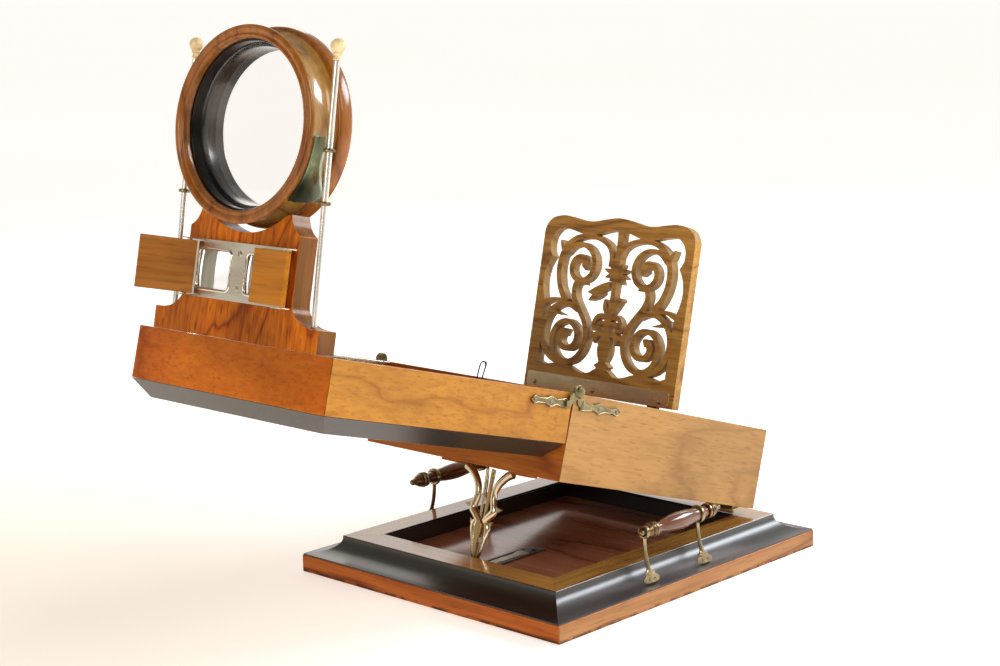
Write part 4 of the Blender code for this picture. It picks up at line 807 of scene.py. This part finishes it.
# ---- strut
def build_strut():
    horn = mm([(4, 44, 3), (8.8, 49, 3.4), (13.2, 53.5, 3.4), (14, 58, 3.1), (12.2, 64, 2.9),
               (11, 70, 2.8), (11.8, 76.5, 2.9), (15, 83, 3.1), (20, 89, 3.2), (26.2, 94, 3.3),
               (31.8, 97, 3.6)])
    leaf = mm([(2.2, 47, 2), (6, 44, 3.6), (9.2, 39, 4), (9.2, 32, 3.7), (7.4, 24, 3), (5.6, 15, 2.5),
               (3.8, 7, 2.2), (2.2, 0, 1.9)])
    spike = mm([(12.2, 53.5), (16, 55.2), (20.5, 56), (26.2, 59.2), (21.2, 60), (17.2, 61.2), (14, 64)])
    spur = mm([(9, 36), (14, 40), (15.2, 45.2), (12.2, 43.2), (9.2, 44)])
    pieces = []
    for sign in (-1, 1):
        for line, wide in ((horn, 1.38), (leaf, 1.0)):
            path = curve_line([(sign * a, 0.0, b, h * wide) for a, b, h in line], 6)
            bar = tube([spot[:3] for spot in path], [spot[3] for spot in path], 14)
            for vert in bar.verts:
                vert.co.y *= STRUT_FLATNESS
            pieces.append(bar)
        for outline, deep in ((spike, 0.00144), (spur, 0.0012)):
            pieces.append(prism([(sign * a, b) for a, b in outline], (-deep, deep)))
    body = lathe([(0, -0.006), (0.0041, -0.006), (0.0041, 0.006), (0, 0.006)], 28, "X")
    bm = carve(body, pieces, "UNION")
    put("lyre", bm, STRUT, "strut", [STRUT_BRASS], ("strut_lyre",), 50)
    for sign in (-1, 1):
        string = mm([(sign * 2.4, 0.4, 30), (sign * 3.2, 0.6, 60), (sign * 4.2, 1, 97.5)])
        wide, mat = (0.0012, STRING_BRASS) if sign > 0 else (0.0004, STRUT_BRASS)
        thick = [0.0013 + wide * k / 8 for k in range(9)]
        bar = tube(curve_line(string, 4), thick, 16)
        put("lyre_string_%d" % sign, bar, STRUT, "strut", [mat], (), 60)
    tongue = mm([(0, 6, 1.8), (0, 20, 2.6), (0, 33, 4.2), (0, 40, 4), (0, 45, 1.8)])
    put("tongue", strip(tongue, (-0.0048, -0.0008)), STRUT, "strut", [STRING_BRASS], ("strut_tongue",),
        40, 0.0005)
    screw("strut_screw", STRUT @ shift(0.0052, -0.0025, 0.025) @ turn(90, "X"), "strut", 0.0026, NICKEL, 15)
    screw("strut_pin_right", STRUT @ shift(0.0079, 0, 0) @ turn(90, "Y"), "base", 0.002, NICKEL, 70)


# ---- fretwork
def spiral(cx, cz, start, turns, radii, halves, steps=30):
    """Points of a scroll whose radius and half width pass through the given values."""
    ring = curve_line([(r, h) for r, h in zip(radii, halves)], max(2, steps // (len(radii) - 1)))
    points = []
    for k, (r, h) in enumerate(ring):
        angle = math.radians(start + 360 * turns * k / (len(ring) - 1))
        points.append((cx + r * math.cos(angle), cz + r * math.sin(angle), h))
    return points


def fretwork_half():
    """Right half of the pierced work: bands of (x, z, half width) in millimetres."""
    bands = [
        [(4, 140, 4), (5, 152, 3.6), (11, 162, 3.3), (24, 168.5, 3.3), (40, 170.5, 3.5), (56, 167.5, 3.8),
         (69, 158, 4.2), (75.5, 143, 4.4), (75.5, 126, 4.4), (70, 110, 4.4), (60, 97.5, 4.6)],
        [(69, 148, 3.5), (75, 156, 3.4), (79, 163.5, 0.7)],
        spiral(46, 137, 35, 1.45, (27, 21.5, 17, 14.5, 12, 8.5, 3.8), (3, 3.6, 3.8, 3.8, 4, 5.2, 4.6)),
        [(37.5, 118, 0.8), (43, 120.5, 3.4), (49.5, 118, 4), (51, 109, 4), (47, 99, 4.2), (39, 89, 4.2),
         (30.5, 77, 4), (26, 62, 4), (29.5, 47, 4), (39, 36, 4), (53, 31.5, 4), (68, 33.5, 4.2),
         (80, 42, 4.4), (87.5, 56, 4.4), (87.5, 72, 4.4), (80, 86, 4.3), (67, 94, 4.3), (54, 94.5, 4),
         (42, 90, 3.6)],
        spiral(54, 60, -95, 1.52, (28, 20.5, 17.2, 15.5, 14.5, 11.5, 8.2, 4),
               (4, 3.8, 3.8, 3.8, 4, 4.4, 5.6, 4.8)),
        [(83, 88, 3), (74, 84.5, 2.4), (63, 82.5, 0.6)],
        [(64, 98, 3), (78, 98.5, 2.6), (92, 94, 3.4)],
        [(48, 123, 2.6), (50, 119, 3), (50, 114, 3.4)],
    ]
    return [mm([(x, z, h * (0.76 if 0 < k < len(band) - 1 else 0.9)) for k, (x, z, h) in enumerate(band)])
            for band in bands]


def fretwork_centre():
    """The stem, flower, leaves, berries and baluster of the middle, in millimetres."""
    bands = [
        [(3, 186, 4.8), (3.5, 172, 4), (3.5, 158, 3.6), (3, 146, 4.8), (3, 132, 6), (3.5, 120, 3.4),
         (3.5, 104, 3.1), (2.5, 92, 3.4), (1.5, 80, 4.4), (1, 66, 5)],
        [(-3, 121, 3.4), (-12, 117, 4.4), (-22, 112, 4.4), (-31, 110.5, 0.7)],
        [(-12, 113, 3.6), (-21, 107, 3.8), (-29, 102, 0.8)],
        [(2, 88, 2.4), (7, 96, 3.4), (12, 104, 3.8), (17, 106, 1.6)],
        [(0, 88, 2.6), (-5, 96, 3), (-6, 105, 1)],
        [(1, 68, 5), (1, 58, 7.8), (1, 49, 8.6), (1, 41, 6), (1, 37.5, 4.6), (1, 35, 8.6), (1, 33, 10),
         (1, 30.5, 7), (1, 27, 12.5), (1, 22, 19)],
    ]
    petals = ((200, 14), (165, 16), (130, 15), (95, 10), (50, 14), (18, 17), (-15, 16), (-45, 15), (230, 11))
    for angle, reach in petals:
        dx = math.cos(math.radians(angle))
        dz = math.sin(math.radians(angle))
        bands.append([(3 + 2 * dx, 133 + 2 * dz, 3), (3 + 0.62 * reach * dx, 133 + 0.62 * reach * dz, 3),
                      (3 + reach * dx, 133 + reach * dz, 0.5)])
    for sign in (-1, 1):
        for band in ([(2, 84, 3.4), (9, 87, 3.4), (16, 84, 3.2), (19, 76, 3), (16, 71, 2.2)],
                     [(2, 77.5, 2.4), (8, 79.5, 2.8), (13, 76.5, 2.8), (13, 70.5, 2.4)],
                     [(2, 67, 3.6), (10, 68, 3.8), (17, 65, 3.6), (23, 66, 3.4)],
                     [(12, 66, 3), (15, 60, 2.2), (13, 57, 0.7)]):
            bands.append([(1 + sign * x, z, h) for x, z, h in band])
    made = []
    for number, band in enumerate(bands):
        slim = 1.0 if number == 5 else 0.92 if number < 5 else 0.8
        made.append(mm([(x, z, h * slim) for x, z, h in band]))
    return made


def build_fretwork():
    crest = mm([(-86, 189.8), (-76, 190.8), (-62, 189), (-48, 186.8), (-34, 187), (-18, 190.2),
                (0, 192.5)])
    crest += mirrored(crest[:-1])
    corner = arc(-PANEL_X + 0.019, 0.1705, 0.019, 0.019, 180, 108, 10)
    top = corner + curve_line(crest, 5) + mirrored(corner)
    outline = [(-PANEL_X, 0.0)] + top + [(PANEL_X, 0.0)]
    panel = prism(outline, (-PANEL_T, 0.0))
    side = mm([(-89, 30), (-89.5, 60), (-90, 90), (-94.5, 106), (-96.5, 120), (-94, 134), (-88, 145)])
    shoulder = mm([(-88, 145), (-92.5, 153), (-92.5, 164), (-87.5, 172.5), (-79, 177), (-64, 175.5),
                   (-48, 172.2), (-33, 172.2), (-16, 176.8), (0, 180)])
    sill = mm([(-89, 30), (-79, 27), (-64, 29.5), (-48, 29.5), (-34, 25), (-22, 23.2), (-10, 26.2),
               (0, 29)])
    half = curve_line(side, 4)[:-1] + curve_line(shoulder, 4)
    floor = curve_line(sill, 4)
    window = half + mirrored(half[:-1]) + [(-x, z) for x, z in floor[1:-1]]
    window += list(reversed(floor[1:]))
    panel = carve(panel, [prism(window, (-PANEL_T - 0.002, 0.002))], "DIFFERENCE")
    tools = []
    trim = 0.0
    for points in fretwork_half():
        for sign in (-1, 1):
            trim += TRIM
            line = [(sign * x, z, h) for x, z, h in points]
            tools.append(strip(line, (-PANEL_T + trim, -trim), steps=2 if len(points) > 20 else 6))
    for points in fretwork_centre():
        trim += TRIM
        tools.append(strip(points, (-PANEL_T + trim, -trim), steps=5))
    bm = carve(panel, tools, "UNION")
    bmesh.ops.recalc_face_normals(bm, faces=bm.faces)
    for face in bm.faces:
        spot = face.calc_center_median()
        outer = abs(spot.x) > PANEL_X - 0.0005 or spot.z > 0.185
        face.material_index = 1 if abs(face.normal.y) < 0.7 and not outer else 0
    put("fretwork", bm, PANEL, "picture_panel", [PANEL_WOOD, CUT_WOOD], ("fretwork_panel",),
        30)
    front = -PANEL_T - GAP
    ledge = prism(rounded(-0.099, 0.0004, 0.099, 0.0175, 0.0032), (front - 0.0014, front))
    put("ledge", ledge, PANEL, "picture_panel", [LEDGE_BRASS], ("ledge_plate",), 35, 0.0004)
    for k, x in enumerate((-0.087, -0.004, 0.087)):
        pin = lathe(mm([(0, 0), (2.4, 0), (2.6, 0.4), (2, 1.2), (1, 1.7), (0, 1.8)]), 24)
        place = PANEL @ shift(x, front - 0.0013, 0.006) @ turn(90, "X")
        put("ledge_pin_%d" % k, pin, place, "picture_panel", [RIM_BRASS], (), 50)


# ---- lens board
def build_board():
    right = [(FOOT_X, 0.0), (FOOT_X, FOOT_H), (0.1035, FOOT_H + 0.0002)]
    right += arc(0.1035, CHEEK_LOW, 0.1035 - CHEEK_X, CHEEK_LOW - FOOT_H - 0.0004, 262, 180, 20)
    right += [(CHEEK_X, CHEEK_TOP)]
    right += arc(0.0805, HEAD_TOP + 0.006, 0.02, 0.0245, 252, 200, 8)
    right += [(HEAD_X, HEAD_TOP)]
    reach = math.degrees(math.acos((SADDLE_Z - HEAD_TOP) / SADDLE_R))
    saddle = arc(0.0, SADDLE_Z, SADDLE_R, SADDLE_R, -90 + reach, -90 - reach, 48)
    outline = right + saddle[1:-1] + mirrored(right)
    holes = [prism(rounded(cx - WINDOW_X, WINDOW_LOW, cx + WINDOW_X, WINDOW_TOP, 0.0004, 1), (-0.01, 0.03))
             for cx in (-EYE_X, EYE_X)]
    bm = carve(prism(outline, (0.0, BOARD_T)), holes, "DIFFERENCE")
    bmesh.ops.recalc_face_normals(bm, faces=bm.faces)
    for face in bm.faces:
        spot = face.calc_center_median()
        window = abs(spot.x) < 0.056 and 0.04 < spot.z < 0.078
        face.material_index = 0 if abs(face.normal.y) >= 0.7 else 2 if window else 1
    mats = [BOARD_WOOD, BOARD_EDGE, LINING]
    put("board", bm, BOARD, "lens_board_body", mats, ("lens_board",), 40, 0.0006)
    soften("eye_plate", BOARD, "lens_board_body", [NICKEL], 0.00025)
    for side, sign in SIDES:
        cx = sign * EYE_X
        path = [(x, -0.0016, z) for x, z in rounded(cx - 0.0229, 0.0409, cx + 0.0229, 0.0772, 0.0052, 8)]
        rim = tube(path, 0.0012, 12, True)
        put("window_rim_" + side, rim, BOARD, "lens_board_body", [BRIGHT], (), 60)
        mat = FLAP_LEFT_WOOD if side == "left" else FLAP_RIGHT_WOOD
        soften("flap_" + side, FLAP[side], side + "_flap", [mat], 0.0006, shrink=FLAP_FIT)
        build_eye_lens(side, cx)
    for k, z in enumerate((0.0447, 0.0756)):
        spot = BOARD @ shift(0, -0.0018, z) @ turn(90, "X")
        screw("plate_screw_%d" % k, spot, "lens_board_body", 0.0024, NICKEL, 35 + 70 * k)


def build_eye_lens(side, cx):
    """Square-cut lens with a crowned front."""
    bm = bmesh.new()
    count = 14
    shares = [2 * i / count - 1 for i in range(count + 1)]
    grids = []
    for y, crown in ((0.0014, 0.003), (0.0052, 0.0)):
        grids.append([[bm.verts.new((cx + 0.0213 * s, y - crown * (1 - 0.5 * (s * s + t * t)),
                                     EYE_Z + 0.0166 * t)) for s in shares] for t in shares])
    for grid in grids:
        for j in range(count):
            for i in range(count):
                bm.faces.new((grid[j][i], grid[j][i + 1], grid[j + 1][i + 1], grid[j + 1][i]))
    front, rear = grids
    for i in range(count):
        for j in (0, count):
            bm.faces.new((front[j][i], front[j][i + 1], rear[j][i + 1], rear[j][i]))
            bm.faces.new((front[i][j], front[i + 1][j], rear[i + 1][j], rear[i][j]))
    put("eye_glass_" + side, bm, BOARD, "lens_board_body", [EYE_GLASS], ("eye_lens_" + side,), 35)


# ---- magnifier
def build_rods():
    for side, sign in SIDES:
        place = ROD @ shift(sign * ROD_X, 0, 0)
        rod = lathe([(0, 0.0018), (ROD_R, 0.0018), (ROD_R, ROD_L - 0.0003), (ROD_R - 0.0003, ROD_L),
                     (0, ROD_L)], 32)
        put("rod_" + side, rod, place, "lens_board_body", [NICKEL_ROD], ("ring_rod_" + side,))
        base = ROD_L + GAP
        knob = mm([(3, 0), (3.6, 0.6), (3.6, 1.4), (3, 1.9), (2.7, 3), (3, 4.2), (4, 5.2), (4.2, 6),
                   (3.8, 6.6), (4.8, 7.6), (6, 9.5), (6.6, 12), (6.2, 14.5), (5, 16.5), (3.4, 17.8),
                   (2, 18.4)])
        line = [(0, base)] + [(r, base + h) for r, h in curve_line(knob, 3)] + [(0, base + 0.0187)]
        ball = lathe(line, 36)
        put("knob_" + side, ball, place, "lens_board_body", [BONE], ("finial_" + side,), 50)


def build_magnifier():
    front = mm([(75.2, -12), (75, -16.5), (75.4, -18.2), (76.4, -19.4), (77.8, -19.7), (78.8, -18.9),
                (79.7, -18.7), (81, -19.7), (82.8, -20.5), (84.6, -20.5), (86, -19.9), (86.7, -18.8),
                (86.8, -17.6), (86.2, -16.6), (85, -16), (83.8, -15.4), (82.6, -14), (81.5, -11.5),
                (80.7, -8), (80.2, -4), (80, 0), (80.4, 3.5), (81.2, 6.8), (82.8, 9.5), (84.8, 11.2),
                (85.4, 12.2), (87, 12.6), (88.4, 13.6), (89.2, 15.5), (89.6, 19.5), (89.5, 24),
                (88.8, 26.6), (87.2, 28.2), (85, 28.5), (81, 28.2), (79, 27.8), (78.2, 26.6)])
    line = [(r * RING_FIT, y) for r, y in curve_line(front, 3) + [(0.0783, -0.0118)]]
    bm = lathe(line, 144, "Y")
    for face in bm.faces:
        centre = face.calc_center_median()
        face.material_index = 1 if -0.015 < centre.y < 0.0112 and centre.xz.length > 0.079 else 0
    put("ring", bm, RING, "magnifier", [RING_WOOD, WAIST_WOOD], ("ring_body",), 40, flat=True)
    cell = mm([(77.8, -11.4), (73.3, -11.4), (73.1, -11), (73.1, 1), (72.9, 1.6), (70, 1.7), (69.6, 2.1),
               (69, 4.4), (68.8, 6), (67.5, 24), (67.1, 25), (67.1, 26.2), (67.5, 26.7), (77.8, 26.8)])
    put("cell", lathe(cell, 144, "Y"), RING, "magnifier", [CELL_BLACK], ("ring_cell",), 30)
    edge = 0.0727
    lens = [(0, 0.0014)] + [(edge * k / 6, 0.0014) for k in range(1, 7)] + [(edge, -0.001)]
    for k in range(1, 16):
        share = 1 - k / 16
        lens.append((edge * share, -0.001 - 0.0043 * (1 - share * share)))
    lens.append((0, -0.0053))
    put("big_lens", lathe(lens, 96, "Y"), RING, "magnifier", [LENS_GLASS], ("magnifier_lens",), 50)
    for side, sign in SIDES:
        build_bracket(side, sign)


def build_bracket(side, sign):
    """Side plate and shoe on the ring's waist, and two clips that slide on the rod."""
    edge = 0.0915
    inner = arc(0, 0, 0.082, 0.082, -4, -49, 18)
    outer = [(0.056, -0.0636), (0.072, -0.063), (0.084, -0.061), (0.0905, -0.056), (0.089, -0.047),
             (0.0872, -0.038), (0.087, -0.029), (0.089, -0.02), (edge, -0.015), (edge, -0.006)]
    outline = inner + curve_line(outer, 3)
    bm = prism([(sign * a, b) for a, b in outline], (-0.0014, 0.0014))
    put("bracket_" + side, bm, CARRIAGE, "magnifier", [GREEN_BRASS], ("ring_bracket_" + side,),
        40, 0.0005)
    band = arc(0, 0, 0.0822, 0.0822, -4, -49, 24) + arc(0, 0, 0.0834, 0.0834, -49, -4, 24)
    shoe = prism([(sign * a, b) for a, b in band], (-0.0055, 0.0055))
    put("bracket_shoe_" + side, shoe, CARRIAGE, "magnifier", [GREEN_BRASS], (), 40, 0.0004)
    for tag, z in (("low", -0.062), ("high", -0.0173)):
        ring = lathe([(ROD_R + 0.0003, -0.0016)] + arc(ROD_R + 0.0014, 0, 0.0012, 0.0017, -80, 80, 6)
                     + [(ROD_R + 0.0003, 0.0016)], 28, "Z", (sign * ROD_X, 0, z))
        arm = tube([(sign * (edge - 0.006), 0, z), (sign * (ROD_X - 0.0036), 0, z)], 0.0012, 14)
        tip = tube([(sign * (ROD_X + 0.0036), 0, z), (sign * (ROD_X + 0.0066), 0, z)], 0.0009, 14)
        ball = mm([(0, -1.3), (0.9, -1), (1.3, 0), (0.9, 1), (0, 1.3)])
        lathe(ball, 14, "X", (sign * (ROD_X + 0.006), 0, z), tip)
        for part, bm, mat, smooth in (("clip", ring, STRAP_BRASS, 45), ("clip_arm", arm, GREEN_BRASS, 50),
                                      ("clip_pin", tip, STRAP_BRASS, 50)):
            name = "%s_%s_%s" % (part, tag, side)
            put(name, bm, CARRIAGE, "magnifier", [mat], (), smooth)


# ---- card slide
def build_card_slide():
    soften("card_slide", SLIDE, "card_slide_body", [INNER_WOOD], 0.0008)
    path = mm([(23.5, 0, 0), (23.7, 0, 8), (24.8, 0, 17.2), (25.7, 1, 21), (27.3, 2.6, 22.2),
               (28.5, 3.6, 20.6), (28.7, 4, 18.2), (28.9, 3.6, 17), (29.5, 3, 18.2), (30.1, 2.2, 21),
               (31.3, 1, 22), (32.6, 0.4, 20), (32.3, 0, 16.2), (30.7, 0, 8), (30.5, 0, 0)])
    put("clip_wire", tube(curve_line(path, 5), 0.00065, 10), SLIDE, "card_slide_body", [DARK], ("card_clip",),
        60)


# ---- stage, light and camera
def light(name, place, target, size, energy, colour):
    data = bpy.data.lights.new(name, "AREA")
    data.shape = "RECTANGLE"
    data.size = size[0]
    data.size_y = size[1]
    data.energy = energy
    data.color = colour
    obj = show(name, data)
    obj.location = place
    obj.rotation_euler = (Vector(target) - Vector(place)).to_track_quat("-Z", "Y").to_euler()


def build_stage():
    """A wide pale floor that glows a little and warms towards the front left corner."""
    floor = as_object("floor", cuboid((-400, -400, -0.02), (400, 400, -0.0002)))
    mat, shader = principled("pale_floor")
    where = place_vector()
    plain = ramp(noise(where, 0.5, 1.0), [(0.3, (0.92, 0.885, 0.845)), (0.7, (0.93, 0.91, 0.885))])
    reach = vec("DISTANCE", where, (-0.45, -0.55, 0.0), "Value")
    warm = span(reach, 0.15, 1.0, 1.0, 0.0)
    glow = scaled(mix(warm, (1.0, 0.965, 0.925), (1.0, 0.84, 0.76)), span(reach, 1.0, 7.0, 0.61, 0.71))
    feed(shader, {"Base Color": mix(warm, plain, (0.6, 0.6, 0.5)), "Roughness": 0.8,
                  "Specular IOR Level": 0.1, "Emission Color": glow, "Emission Strength": 1.0})
    floor.data.materials.append(mat)
    build_world()
    light("key", (2.4, 0.2, 2.0), (0, -0.1, 0.2), (1.2, 1.2), 30, (1.0, 0.97, 0.93))
    light("window", (1.2, 2.2, 1.75), (0, 0, 0.15), (1.3, 0.8), 58, (0.8, 0.88, 1.0))
    light("fill", (0.4, -3.0, 1.5), (0, -0.2, 0.2), (1.6, 1.0), 28, (1.0, 0.93, 0.84))
    light("back", (-2.2, 1.2, 1.6), (0, 0, 0.2), (1.4, 1.2), 8, (1.0, 0.96, 0.9))


def build_world():
    """Bright white behind the object, dim behind the viewer and overhead."""
    world = bpy.data.worlds.new("studio")
    world.use_nodes = True
    work_in(world.node_tree)
    way = make("TexCoord").outputs["Generated"]
    viewer = vec("DOT_PRODUCT", way, (0.55, -0.8, 0.0), "Value")
    height = make("SeparateXYZ", {0: way}).outputs["Z"]
    dim = times(span(viewer, -0.25, 0.45, 1.0, 0.16), span(height, 0.15, 0.75, 1.0, 0.35))
    feed(tree.nodes["Background"], {"Color": (1.0, 0.97, 0.93, 1), "Strength": dim})
    bpy.context.scene.world = world


def build_camera():
    azimuth, rise, roll = (math.radians(angle) for angle in (43.5487, 10.2864, -1.2404))
    back = Vector((math.sin(azimuth) * math.cos(rise), -math.cos(azimuth) * math.cos(rise), math.sin(rise)))
    right = Vector((math.cos(azimuth), math.sin(azimuth), 0))
    up = back.cross(right)
    side = right * math.cos(roll) + up * math.sin(roll)
    over = up * math.cos(roll) - right * math.sin(roll)
    data = bpy.data.cameras.new("camera")
    data.lens = 69.55
    data.sensor_width = 36.0
    cam = show("camera", data)
    spot = Matrix((side, over, back)).transposed().to_4x4()
    spot.translation = Vector((1.31855, -1.47417, 0.60358))
    cam.matrix_world = spot
    bpy.context.scene.camera = cam


def main():
    build_base()
    build_track()
    build_box_hinges()
    for side, _ in SIDES:
        build_handle(side)
    build_boxes()
    build_straps()
    build_strut()
    build_fretwork()
    build_board()
    build_rods()
    build_magnifier()
    build_card_slide()
    build_stage()
    build_camera()
    bpy.context.scene.view_settings.view_transform = "Standard"


main()
